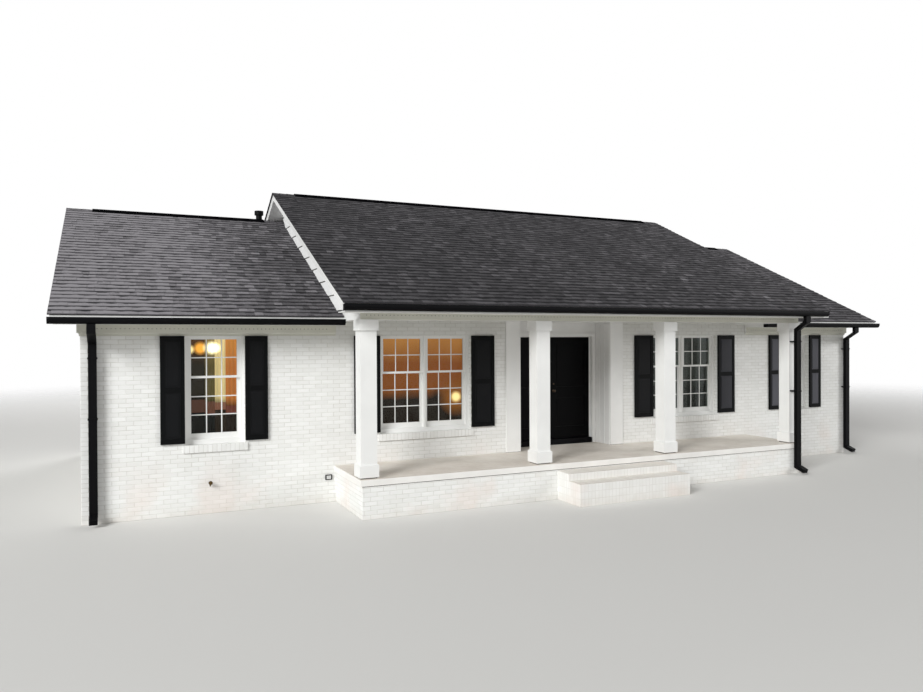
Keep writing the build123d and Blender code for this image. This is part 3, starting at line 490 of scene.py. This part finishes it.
def layBricks(name, wall, areas, holes, material, length=brickLength, course=brickCourse, bond=0.5):
    # Bricks at the cells that the paint's joints follow: cell k of course r starts where
    # x + y = (k - bond (r even)) length. A cell is clipped to its area and cut round the holes, and each brick left
    # is a low block with slanted sides. Areas and holes are (first, last, low, high) along the wall and up
    joint, slant, face, run = bricks["joint"], bricks["slant"], walls[wall][1], walls[wall][3]
    far = np.inf  # no limit on that side
    cells = []
    for first, last, low, high in areas:
        rows = np.arange(math.floor(low / course), math.ceil(high / course))
        columns = np.arange(math.floor((first + face) / length) - 1, math.ceil((last + face) / length) + 1)
        row, column = (grid.ravel() for grid in np.meshgrid(rows, columns))
        start = (column - bond * (row % 2 == 0)) * length - face
        cell = np.stack([start + joint, start + length - joint, row * course + joint, (row + 1) * course - joint], 1)
        cells.append(np.clip(cell, [first, first, low, low], [last, last, high, high]))
    cells = np.concatenate(cells)
    for x0, x1, z0, z1 in holes:
        inside = (cells[:, 0] < x1) & (cells[:, 1] > x0) & (cells[:, 2] < z1) & (cells[:, 3] > z0)
        cut = cells[inside]
        beside = [np.clip(cut, -far, [far, x0, far, far]), np.clip(cut, [x1, -far, -far, -far], far)]
        between = np.clip(cut, [x0, -far, -far, -far], [far, x1, far, far])
        stacked = [np.clip(between, -far, [far, far, far, z0]), np.clip(between, [-far, -far, z1, -far], far)]
        cells = np.concatenate([cells[~inside]] + beside + stacked)
    cells = cells[(cells[:, 1] - cells[:, 0] > bricks["least"]) & (cells[:, 3] - cells[:, 2] > bricks["least"])]
    x0, x1, z0, z1 = cells.T
    out = bricks["proud"] + trowel.uniform(-1, 1, len(cells)) * bricks["spread"]
    along = np.stack([x0, x1, x1, x0, x0 + slant, x1 - slant, x1 - slant, x0 + slant], 1) * run
    up = np.stack([z0, z0, z1, z1, z0 + slant, z0 + slant, z1 - slant, z1 - slant], 1)
    off = np.stack([np.full(len(cells), -bricks["bed"])] * 4 + [out] * 4, 1)
    points = onWall(np.stack([along, up, off], 2).reshape(-1, 3), wall)
    made = meshOf(name, points, eightCorners(points), material)
    return len(cells)


def windowHoles(wall):
    # The brick openings of a wall's windows
    run, half = walls[wall][3], {1: openings["single"], 2: openings["double"]}
    places = [(run * middle, half[count]) for place, middle, count in windowPlaces if place == wall]
    return [(middle - reach, middle + reach, openings["sill"], openings["head"]) for middle, reach in places]


slabLow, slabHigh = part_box("porch_slab")
pilasterLow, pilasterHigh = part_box("pilasters")
friezeFoot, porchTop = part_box("friezes")[0][2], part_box("porch_ceiling")[0][2]
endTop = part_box("left_end_wall")[1][2]
stepLow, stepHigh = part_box("entry_steps")
frontAreas = [(-sideEdge, pilasterLow[0], 0, porchTop), (pilasterHigh[0], sideEdge, 0, porchTop)]
rearAreas, endAreas = [(-sideEdge, sideEdge, 0, friezeFoot)], [(frontEdge, rearEdge, 0, endTop)]
frontHoles = [
    (baseLow[0], baseHigh[0], 0, slabHigh[2]),
    (-sideEdge, baseLow[0], friezeFoot, porchTop),
    (baseHigh[0], sideEdge, friezeFoot, porchTop),
]
wallPaint, basePaint = materials["painted_brick"], extraMaterials["base"]
brickCount = layBricks("frontBricks", "front", frontAreas, frontHoles + windowHoles("front"), wallPaint)
brickCount += layBricks("rearBricks", "rear", rearAreas, windowHoles("rear"), wallPaint)
for way in ("left", "right"):
    brickCount += layBricks(way + "EndBricks", way, endAreas, windowHoles(way), wallPaint)
underSlab = slabLow[2] - bricks["openJoint"]
stepHole = (stepLow[0], stepHigh[0], 0, stepHigh[2])
brickCount += layBricks("baseBricks", "base", [(baseLow[0], baseHigh[0], 0, underSlab)], [stepHole], basePaint)
for way in ("Left", "Right"):
    baseAreas = [(baseLow[1], frontEdge, 0, underSlab)]
    brickCount += layBricks("base" + way + "Bricks", "base" + way, baseAreas, [], basePaint)
sillLow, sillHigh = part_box("window_sills")
walls.update(
    frontSill=(0, sillLow[1], -1, 1),
    rearSill=(0, sillHigh[1], 1, -1),
    leftSill=(1, sillLow[0], -1, -1),
    rightSill=(1, sillHigh[0], 1, 1),
)
for wall in ("front", "rear", "left", "right"):  # rowlocks: bricks on edge, side by side along each sill
    side = openings["sillSide"]
    sills = [(x0 - side, x1 + side, sillLow[2], sillHigh[2]) for x0, x1, _, _ in windowHoles(wall)]
    upright = dict(length=brickCourse, course=uprightBrick["sill"], bond=0)
    brickCount += layBricks(wall + "Rowlocks", wall + "Sill", sills, [], extraMaterials["rowlock"], **upright)
print("bricks done", brickCount)


# Window bars
bars = dict(width=0.018, depth=0.009, sunk=0.0006, bevel=0.004, inner=0.345, pitch=0.83)
bars.update(glassLow=1.235, glassHigh=2.708, rail=0.018, upper=0.4, step=0.04, outer=-0.1395)
meetingHeight = bars["glassHigh"] - bars["upper"] * (bars["glassHigh"] - bars["glassLow"])
sashes = [  # lowest and highest point of the glass, panes from low to high, and place of the bars' backs
    (meetingHeight + bars["rail"], bars["glassHigh"], 2, bars["outer"]),
    (bars["glassLow"], meetingHeight - bars["rail"], 3, bars["outer"] - bars["step"]),
]
barPoints = []
for wall, centre, count in windowPlaces:
    for middle in (np.arange(count) - (count - 1) / 2) * bars["pitch"] + centre:
        for low, high, rows, out in sashes:
            half, inner = bars["width"] / 2, bars["inner"]
            uprights = middle + inner * np.array([-1, 1]) / 3
            levels = low + (high - low) * np.arange(1, rows) / rows
            lows = [[x - half, low, out] for x in uprights] + [[middle - inner, z - half, out] for z in levels]
            highs = [[x + half, high, out + bars["depth"]] for x in uprights]
            highs += [[middle + inner, z + half, out + bars["depth"] - bars["sunk"]] for z in levels]
            barPoints.append(onWall(blocks(np.array(lows), np.array(highs), bars["bevel"]), wall))
barPoints = np.concatenate(barPoints)
windowBars = meshOf("windowBars", barPoints, eightCorners(barPoints), materials["window_vinyl"])
print("window bars", len(barPoints) // 8)


# Shingles
roofs = dict(rise=0.472, exposure=0.143, overlap=0.02, narrow=0.07, wide=0.19, shift=0.2, least=0.03)
roofs.update(thin=0.007, thick=0.013, thickShare=0.45, waver=0.001, head=0.0012)
roofs.update(spread=0.24, thinTone=0.8, thinBelow=0.01, bareTone=0.12)
random = np.random.default_rng(11)
slopeAngle = math.atan(roofs["rise"])


def shingleTabs(name, x0, x1, eaveY, eaveZ, ridgeY, toneLeft, toneRight):
    # Each tab is a wedge on the slope: its butt stands thin or thick off the course below and its head is thin.
    # At length s up the slope and height h off it: y = eave + side (s cos a - h sin a), z = eave + s sin a + h cos a
    side = 1 if ridgeY > eaveY else -1
    length = abs(ridgeY - eaveY) / math.cos(slopeAngle)
    edges = []
    for course in range(math.ceil(length / roofs["exposure"])):
        widths = random.uniform(roofs["narrow"], roofs["wide"], int((x1 - x0) / roofs["narrow"]) + 2)
        cuts = x0 - random.uniform(0, roofs["shift"]) + np.cumsum(widths)
        kept = (cuts > x0 + roofs["least"]) & (cuts < x1 - roofs["least"])
        cuts = np.concatenate([[x0], cuts[kept], [x1]])
        start = course * roofs["exposure"]
        edges.append(np.stack([cuts[:-1], cuts[1:], np.full(len(cuts) - 1, start)], 1))
    left, right, start = np.concatenate(edges).T
    end = np.minimum(start + roofs["exposure"] + roofs["overlap"], length)
    butt = np.where(random.random(len(left)) < roofs["thickShare"], roofs["thick"], roofs["thin"])
    butt = butt + random.uniform(0, roofs["waver"], len(left))
    head = np.full(len(left), roofs["head"])
    zero = np.zeros(len(left))
    s = np.stack([start, start, end, end] * 2, 1)
    h = np.stack([zero, zero, zero, zero, butt, butt, head, head], 1)
    x = np.stack([left, right, right, left] * 2, 1)
    y = eaveY + side * (s * math.cos(slopeAngle) - h * math.sin(slopeAngle))
    z = eaveZ + s * math.sin(slopeAngle) + h * math.cos(slopeAngle)
    points = np.stack([x, y, z], 2).reshape(-1, 3)
    # painted sheen: the tone runs from toneLeft to toneRight along the slope
    sheenRamp = toneLeft + (toneRight - toneLeft) * (left - x0) / (x1 - x0)
    tone = sheenRamp * np.exp(roofs["spread"] * random.normal(0, 1, len(left)))
    tone *= np.where(butt < roofs["thinBelow"], roofs["thinTone"], 1)
    marks = dict(tone=np.repeat(tone, 8), lap=np.tile([0, 0, 1, 1] * 2, len(left)))
    made = meshOf(name, points, eightCorners(points), materials["shingle"], marks=marks)
    return len(left)


wingLow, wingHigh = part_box("wing_shingles")
mainLow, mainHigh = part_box("main_shingles")
wingEave = wingHigh[2] - roofs["rise"] * (wingHigh[1] - wingLow[1]) / 2
mainEave = mainHigh[2] - roofs["rise"] * (mainHigh[1] - mainLow[1]) / 2
wingRidge, mainRidge = (wingLow[1] + wingHigh[1]) / 2, (mainLow[1] + mainHigh[1]) / 2
gableLow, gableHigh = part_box("main_gables")
# painted sheen: a span's tone changes from its left to its right end, lightest at the left wing's far end
spans = dict(  # ends, eave height, front and rear eaves, ridge, and the tones at the left and right end
    leftWing=(wingLow[0], gableLow[0], wingEave, wingLow[1], wingHigh[1], wingRidge, 1.25, 0.28),
    rightWing=(gableHigh[0], wingHigh[0], wingEave, wingLow[1], wingHigh[1], wingRidge, 0.34, 0.34),
    middle=(mainLow[0], mainHigh[0], mainEave, mainLow[1], mainHigh[1], mainRidge, 0.18, 0.25),
)
for name, (x0, x1, eaveZ, frontY, rearY, ridgeY, toneLeft, toneRight) in spans.items():
    for way, eaveY in (("Front", frontY), ("Rear", rearY)):
        tabs = shingleTabs(name + way + "Shingles", x0, x1, eaveY, eaveZ, ridgeY, toneLeft, toneRight)
        print("shingles", name, way, tabs)
for name in ("wing_shingles", "main_shingles"):  # what shows between the tabs
    mesh = frame["nodes"][name].data
    tones = np.full(len(mesh.vertices), roofs["bareTone"], np.float32)
    mesh.attributes.new("tone", "FLOAT", "POINT").data.foreach_set("value", tones)


# Ridge caps
caps = dict(reach=0.15, exposure=roofs["exposure"], length=0.19, thick=0.009, thin=0.003, ventEnd=0.45)


def ridgeCaps(name, x0, x1, ridgeY, ridgeZ, tone):
    # Tabs folded over the ridge where no vent lies: on each slope a tab reaches down from the ridge and thins
    # along X to its head.
    # At distance s down the slope and height h off it: y = ridge + side (s cos a + h sin a) and
    # z = ridge - s sin a + h cos a
    starts = np.arange(x0, x1 - caps["exposure"] / 2, caps["exposure"])
    ends = np.minimum(starts + caps["length"], x1)
    for side, way in ((-1, "Front"), (1, "Rear")):
        zero, full = np.zeros(len(starts)), np.full(len(starts), caps["reach"])
        butt, head = full * 0 + caps["thick"], full * 0 + caps["thin"]
        x = np.stack([starts, ends, ends, starts] * 2, 1)
        s = np.stack([full, full, zero, zero] * 2, 1)
        h = np.stack([zero, zero, zero, zero, butt, head, head, butt], 1)
        y = ridgeY + side * (s * math.cos(slopeAngle) + h * math.sin(slopeAngle))
        z = ridgeZ - s * math.sin(slopeAngle) + h * math.cos(slopeAngle)
        points = np.stack([x, y, z], 2).reshape(-1, 3)
        tones = tone * np.exp(roofs["spread"] * random.normal(0, 1, len(starts)))
        marks = dict(tone=np.repeat(tones, 8), lap=np.tile([0, 1, 1, 0] * 2, len(starts)))
        meshOf(name + way, points, eightCorners(points), materials["shingle"], marks=marks)


ventEnd = caps["ventEnd"]  # from a roof's end to its vent's
# the caps' tones follow the same painted sheen, lightest at the left wing's far end
ridgeSpans = [  # name, ends, ridge, height and tone
    ("leftWingCaps", wingLow[0], wingLow[0] + ventEnd, wingRidge, wingHigh[2], 0.5),
    ("leftWingInnerCaps", gableLow[0] - ventEnd, gableLow[0], wingRidge, wingHigh[2], 0.3),
    ("rightWingInnerCaps", gableHigh[0], gableHigh[0] + ventEnd, wingRidge, wingHigh[2], 0.3),
    ("rightWingCaps", wingHigh[0] - ventEnd, wingHigh[0], wingRidge, wingHigh[2], 0.3),
    ("middleLeftCaps", mainLow[0], mainLow[0] + ventEnd, mainRidge, mainHigh[2], 0.2),
    ("middleRightCaps", mainHigh[0] - ventEnd, mainHigh[0], mainRidge, mainHigh[2], 0.2),
]
for span in ridgeSpans:
    ridgeCaps(*span)
print("ridge caps done")


# Lap siding on the gables
siding = dict(exposure=0.268, low=3.169, first=3.437, butt=0.014, head=0.003, packing=0.052, least=0.001)


def lapSiding(name, faceX, outwards, low, high, near, far, packing):
    # Boards up a gable on packing: at height z a board runs from near(z) to far(z), and its foot stands off by
    # the butt
    rows = np.concatenate([[low], np.arange(siding["first"], high, siding["exposure"])])
    tops = np.append(rows[1:], high)
    corners = []
    for z, out in ((rows, siding["butt"]), (tops, siding["head"])):
        yNear, yFar = near(z), np.maximum(far(z), near(z) + siding["least"])
        for y in (yNear, yFar):
            for depth in (0.0, out + packing):
                corners.append(np.stack([np.full(len(z), faceX + outwards * depth), y, z], 1))
    a, b, c, d, e, f, g, h = corners
    points = np.stack([a, c, g, e, b, d, h, f], 1).reshape(-1, 3)
    laps = np.tile([0, 0, 1, 1] * 2, len(rows))  # 0 at a board's foot and 1 at its head, under the next lap
    made = meshOf(name, points, eightCorners(points), materials["siding"], marks=dict(lap=laps))


beamFront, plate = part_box("porch_beam")[0][1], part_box("front_wall_left")[1][2]
soffitDrop = 0.156  # the siding ends this far below the top of the shingles
endSpan = lambda z, side: wingRidge + side * (wingHigh[2] - soffitDrop - z) / roofs["rise"]
mainNear = lambda z: np.maximum(beamFront, mainRidge - (mainHigh[2] - soffitDrop - z) / roofs["rise"])
mainFar = lambda z: np.where(
    z < wingHigh[2],
    wingRidge - (wingHigh[2] - z) / roofs["rise"],
    mainRidge + (mainHigh[2] - soffitDrop - z) / roofs["rise"],
)
endNear, endFar = lambda z: endSpan(z, -1), lambda z: endSpan(z, 1)
mainTop, wingTop = mainHigh[2] - soffitDrop, wingHigh[2] - soffitDrop
for way, faceX, outwards in (("Left", gableLow[0], -1), ("Right", gableHigh[0], 1)):
    name = "middleSiding" + way
    lapSiding(name, faceX, outwards, siding["low"], mainTop, mainNear, mainFar, siding["packing"])
for way, faceX, outwards in (("Left", -sideEdge, -1), ("Right", sideEdge, 1)):
    lapSiding("endSiding" + way, faceX, outwards, plate, wingTop, endNear, endFar, 0.0)
print("siding done")


# Rooms behind the panes
drapes = dict(foot=0.72, top=3.1, levels=4, steps=12, thick=0.004)
rearDrapes = dict(beside=0.6, sash=0.85, depth=0.34, folds=6, sway=0.025)
stripes = dict(depth=0.55, folds=3, sway=0.012)
roomSway = 0.01


def drape(name, wall, centre, width, depth, folds, sway, material):
    # A hanging sheet: out(s) = -(depth + sway sin(2 pi folds s)) for s from 0 to 1 along its width
    s = np.linspace(0, 1, drapes["steps"] * folds + 1)
    levels = drapes["levels"]
    heights = np.linspace(drapes["foot"], drapes["top"], levels)
    along = centre + (s - 0.5) * width
    out = -(depth + sway * np.sin(2 * math.pi * folds * s))
    points = np.stack([np.tile(along, levels), np.repeat(heights, len(s)), np.tile(out, levels)], 1)
    made = meshOf(name, onWall(points, wall), gridFaces(levels, len(s)), material, smooth=True, closed=False)
    thick = made.modifiers.new("cloth", "SOLIDIFY")
    thick.thickness = drapes["thick"]


rooms = [  # material, ends, depth behind the wall's face, folds
    ("diningRoom", -6.825, -4.425, 1.3, 8),
    ("warmRoom", -3.67, -0.95, 1.3, 9),  # ends short of the left leaf when it stands open
    ("dimRoom", 2.15, 5.35, 1.3, 11),
    ("dimRoom", 6.1, 7.7, 0.5, 8),  # nearer, beside the end wall
]
for number, (material, x0, x1, depth, folds) in enumerate(rooms):
    drape("room" + str(number), "front", (x0 + x1) / 2, x1 - x0, depth, folds, roomSway, extraMaterials[material])
for number, (wall, centre, count) in enumerate(windowPlaces):
    if wall != "front":
        width, folds = rearDrapes["beside"] + rearDrapes["sash"] * count, rearDrapes["folds"] * count
        name, cloth = "drape" + str(number), extraMaterials["drape"]
        drape(name, wall, centre, width, rearDrapes["depth"], folds, rearDrapes["sway"], cloth)
for name, centre, width in (("oliveDrape", -6.145, 0.15), ("creamDrape", -5.985, 0.17), ("amberDrape", -5.80, 0.2)):
    drape(name, "front", centre, width, stripes["depth"], stripes["folds"], stripes["sway"], extraMaterials[name])
print("rooms done")


# Row of small vents in the friezes and the porch beam
vents = dict(radius=0.006, pitch=0.062, sides=8, proud=0.0008)
vents.update(margin=0.1, rightMargin=0.15, wingEnd=7.9, beamHeight=3.062, friezeDrop=0.196)


def ventRow(name, x0, x1, y, z):
    # Thin plugs at x = x0 + n pitch; corner k of a plug's ring stands at radius (cos t, sin t) in x and z, with
    # t = 2 pi k / sides. Each end is three quads of its eight corners
    centres = np.arange(x0, x1, vents["pitch"])
    corner = np.arange(vents["sides"])
    after = (corner + 1) % vents["sides"]
    turn = 2 * math.pi * corner / vents["sides"]
    ring = np.stack([np.cos(turn), np.zeros(len(turn)), np.sin(turn)], 1) * vents["radius"]
    rings = np.concatenate([ring + [0, y - vents["proud"], z], ring + [0, y + vents["proud"], z]])
    points = rings[None] + np.stack([centres, centres * 0, centres * 0], 1)[:, None]
    ends = np.array([[0, 1, 2, 3], [0, 3, 4, 7], [4, 5, 6, 7]])
    rim = np.stack([corner, after, after + vents["sides"], corner + vents["sides"]], 1)
    quads = np.concatenate([rim, ends, ends + vents["sides"]])
    faces = (np.arange(len(centres))[:, None, None] * len(rings) + quads[None]).reshape(-1, 4)
    # the plugs are painted dark for the shade inside the vent holes
    made = meshOf(name, points.reshape(-1, 3), faces, extraMaterials["dark"])


beamLow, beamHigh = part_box("porch_beam")
friezeFace, friezeHeight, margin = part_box("friezes")[0][1], wingEave - vents["friezeDrop"], vents["margin"]
ventRow("beamVents", beamLow[0] + margin, beamHigh[0] - margin, beamLow[1], vents["beamHeight"])
ventRow("leftFriezeVents", -vents["wingEnd"], beamLow[0] - margin, friezeFace, friezeHeight)
ventRow("rightFriezeVents", beamHigh[0] + vents["rightMargin"], vents["wingEnd"], friezeFace, friezeHeight)

# Louvres of the small vent low on the left wing
louvres = dict(count=3, width=0.076, low=0.389, pitch=0.019, height=0.014, proud=0.0015, bevel=0.0007)
ventLow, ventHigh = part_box("wall_vent")
middleX, ventFace = (ventLow[0] + ventHigh[0]) / 2, frontEdge - ventLow[1]
rises = louvres["low"] + louvres["pitch"] * np.arange(louvres["count"])
lows = [[middleX - louvres["width"] / 2, rise, ventFace] for rise in rises]
highs = [[middleX + louvres["width"] / 2, rise + louvres["height"], ventFace + louvres["proud"]] for rise in rises]
louvrePoints = onWall(blocks(np.array(lows), np.array(highs), louvres["bevel"]), "front")
meshOf("ventLouvres", louvrePoints, eightCorners(louvrePoints), trim)
print("vents done")


# Boards on the sides of the entry
boards = dict(count=3, width=0.149, gap=0.012, thick=0.008, low=0.602, high=3.0, bevel=0.003, first=-4.08, last=-3.612)
boardPoints = []
for face, outwards in ((entryLow[0], 1), (entryHigh[0], -1)):
    starts = boards["first"] + (boards["width"] + boards["gap"]) * np.arange(boards["count"])
    ends = np.minimum(starts + boards["width"], boards["last"])
    lows = np.array([[start, boards["low"], 0.0] for start in starts])
    highs = np.array([[end, boards["high"], boards["thick"]] for end in ends])
    points = blocks(lows, highs, boards["bevel"])
    boardPoints.append(np.stack([face + outwards * points[:, 2], points[:, 0], points[:, 1]], 1))
boardPoints = np.concatenate(boardPoints)
meshOf("entryBoards", boardPoints, eightCorners(boardPoints), trim)
print("entry boards done")


# Turned door knobs and the bolt's rose above
knobs = dict(segments=40, boltHeight=0.14, boltRadius=0.019, boltReach=0.016)


def turned(name, body, x, z, radius, sides, profile):
    # Solids of revolution about Y, one on each side of the leaf. A row of the profile is (share of the way from
    # the leaf's face to the tip, share r of the radius), and its point at turn t is (x + r cos t, y, z + r sin t)
    around = np.linspace(0, 2 * math.pi, knobs["segments"], endpoint=False)
    count, columns = len(profile), len(around)
    shares = radius * profile[:, 1:]
    parts = []
    for face, tip in sides:
        y = np.repeat(face + (tip - face) * profile[:, :1], columns, 1)
        parts.append(np.stack([x + shares * np.cos(around), y, z + shares * np.sin(around)], 2).reshape(-1, 3))
    here = np.arange(count - 1)[:, None] * columns + np.arange(columns)[None]
    beside = np.arange(count - 1)[:, None] * columns + (np.arange(columns)[None] + 1) % columns
    faces = np.stack([here, beside, beside + columns, here + columns], 2).reshape(-1, 4)
    faces = np.concatenate([faces + n * count * columns for n in range(len(sides))])
    made = meshOf(name, np.concatenate(parts), faces, extraMaterials["bronze"], body, True, closed=False)
    work = bmesh.new()
    work.from_mesh(made.data)
    bmesh.ops.remove_doubles(work, verts=work.verts, dist=1e-6)
    bmesh.ops.recalc_face_normals(work, faces=work.faces)
    work.to_mesh(made.data)
    work.free()
    return made


# Profiles: a rose with its bead, neck, swelling, ball and flattened tip, and the bolt's rose
turn = np.linspace(-0.95, 1.2, 12)
ball = np.stack([0.74 + 0.26 * np.sin(turn), 0.94 * np.cos(turn)], 1)
stem = np.array([[0, 0], [0, 0.99], [0.05, 0.99], [0.1, 0.9], [0.13, 0.62], [0.16, 0.4], [0.42, 0.34], [0.5, 0.42]])
knobProfile = np.concatenate([stem, ball, [[1.0, 0.2], [1.0, 0.0]]])
roseProfile = np.array([[0, 0], [0, 1], [0.6, 1], [0.85, 0.9], [1, 0.62], [1, 0.3], [0.8, 0.22], [0.8, 0]])
for side in ("left", "right"):
    low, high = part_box(side + "_door_knob")
    leafLow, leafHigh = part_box(side + "_door")
    x, z = (low[0] + high[0]) / 2, (low[2] + high[2]) / 2
    sides = ((leafLow[1], low[1]), (leafHigh[1], high[1]))
    knob = turned(side + "TurnedKnob", side + "_leaf", x, z, (high[0] - low[0]) / 2, sides, knobProfile)
    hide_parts(side + "_door_knob")
    if side == "right":
        boltSides = ((leafLow[1], leafLow[1] - knobs["boltReach"]), (leafHigh[1], leafHigh[1] + knobs["boltReach"]))
        turned("rightBolt", "right_leaf", x, z + knobs["boltHeight"], knobs["boltRadius"], boltSides, roseProfile)
print("knobs done")


# Floor, background, lamps, camera
studio = dict(reach=70, rings=7, spokes=48, drop=0.001, fadeFrom=13.0, fadeTo=38.0, white=1.0, sky=0.22)
radii = np.linspace(0, studio["reach"], studio["rings"] + 1)[1:]
turns = np.linspace(0, 2 * math.pi, studio["spokes"] + 1)
floorX, floorY = (radii[:, None] * np.cos(turns)).ravel(), (radii[:, None] * np.sin(turns)).ravel()
floorPoints = [[0, 0, 0]] + np.stack([floorX, floorY, np.zeros(len(floorX))], 1).tolist()
floorFaces = (gridFaces(studio["rings"], studio["spokes"] + 1) + 1).tolist()
floorFaces += [[0, k + 1, k + 2] for k in range(studio["spokes"])]
floorMesh = bpy.data.meshes.new("studioFloor")
floorMesh.from_pydata(floorPoints, [], floorFaces)
floor = bpy.data.objects.new("studioFloor", floorMesh)
bpy.context.scene.collection.objects.link(floor)
floor.location.z = -studio["drop"]
floorMaterial, add = newMaterial("pale studio floor")  # matt paint that fades into the white background
away = add("VectorMath", {0: add("TexCoord").outputs["Object"]}, operation="LENGTH").outputs["Value"]
distances = {"Value": away, "From Min": studio["fadeFrom"], "From Max": studio["fadeTo"]}
fade = add("MapRange", distances, interpolation_type="SMOOTHSTEP")
paint = add("BsdfPrincipled", {"Base Color": linear("#DEDDDA"), "Roughness": 0.9})
add("OutputMaterial", {"Surface": add("MixShader", {0: fade, 1: paint, 2: add("BsdfTransparent")})})
floorMesh.materials.append(floorMaterial)

world = bpy.data.worlds.new("studio")
bpy.context.scene.world = world
world.use_nodes = True
world.node_tree.nodes.clear()
add = partial(addNode, world.node_tree)
rays = add("LightPath").outputs
mirrored = add("Math", {0: rays["Is Glossy Ray"], 1: rays["Is Transmission Ray"]}, operation="MAXIMUM")
seen = add("Math", {0: rays["Is Camera Ray"], 1: mirrored}, operation="MAXIMUM")
white = add("Background", {"Color": (1, 1, 1, 1), "Strength": studio["white"]})  # seen, also in glass and metal
sky = add("Background", {"Color": linear("#FAFAFA"), "Strength": studio["sky"]})  # lights the house
add("OutputWorld", {"Surface": add("MixShader", {0: seen, 1: sky, 2: white})})


def softLamp(name, place, target, size, power, hexColour):
    # A round lamp at a place that looks at a target, with its size in metres and its power in watts
    lamp = bpy.data.lights.new(name, "AREA")
    lamp.shape, lamp.size, lamp.energy, lamp.color = "DISK", size, power, linear(hexColour)[:3]
    made = bpy.data.objects.new(name, lamp)
    bpy.context.scene.collection.objects.link(made)
    forward = np.array(target, float) - np.array(place, float)
    made.location = place
    yaw, pitch = math.atan2(forward[0], forward[1]), math.atan2(-forward[2], math.hypot(forward[0], forward[1]))
    made.rotation_euler = (math.pi / 2 - pitch, 0, -yaw)


softLamp("key", (-45, -34, 26), (0, -3, 2), 24, 29500, "#FEFFFF")
softLamp("fill", (24, -24, 11), (4, -3, 1.5), 12, 2600, "#FFFFFF")
softLamp("back", (4, 26, 16), (0, 0, 3), 12, 3500, "#FFFFFF")

# Camera fitted to the photo, with its turns in degrees and its lens and sensor in millimetres
view = dict(place=(-7.51, -16.253, 2.677), yaw=24.775, pitch=-0.438, roll=-0.247, lens=29.096, sensor=36)
yaw, pitch, roll = (math.radians(view[key]) for key in ("yaw", "pitch", "roll"))
level, right = np.array([math.sin(yaw), math.cos(yaw), 0]), np.array([math.cos(yaw), -math.sin(yaw), 0])
up = np.array([0, 0, 1])
ahead = level * math.cos(pitch) + up * math.sin(pitch)
above = up * math.cos(pitch) - level * math.sin(pitch)
across = right * math.cos(roll) + above * math.sin(roll)
upwards = above * math.cos(roll) - right * math.sin(roll)
cameraData = bpy.data.cameras.new("photoCamera")
cameraData.lens, cameraData.sensor_width = view["lens"], view["sensor"]
camera = bpy.data.objects.new("photoCamera", cameraData)
bpy.context.scene.collection.objects.link(camera)
turnMatrix = np.eye(4)
turnMatrix[:3] = np.stack([across, upwards, -ahead, view["place"]], 1)
camera.matrix_world = Matrix(turnMatrix.tolist())
bpy.context.scene.camera = camera
bpy.context.scene.view_settings.view_transform = "Standard"
print("stage done")
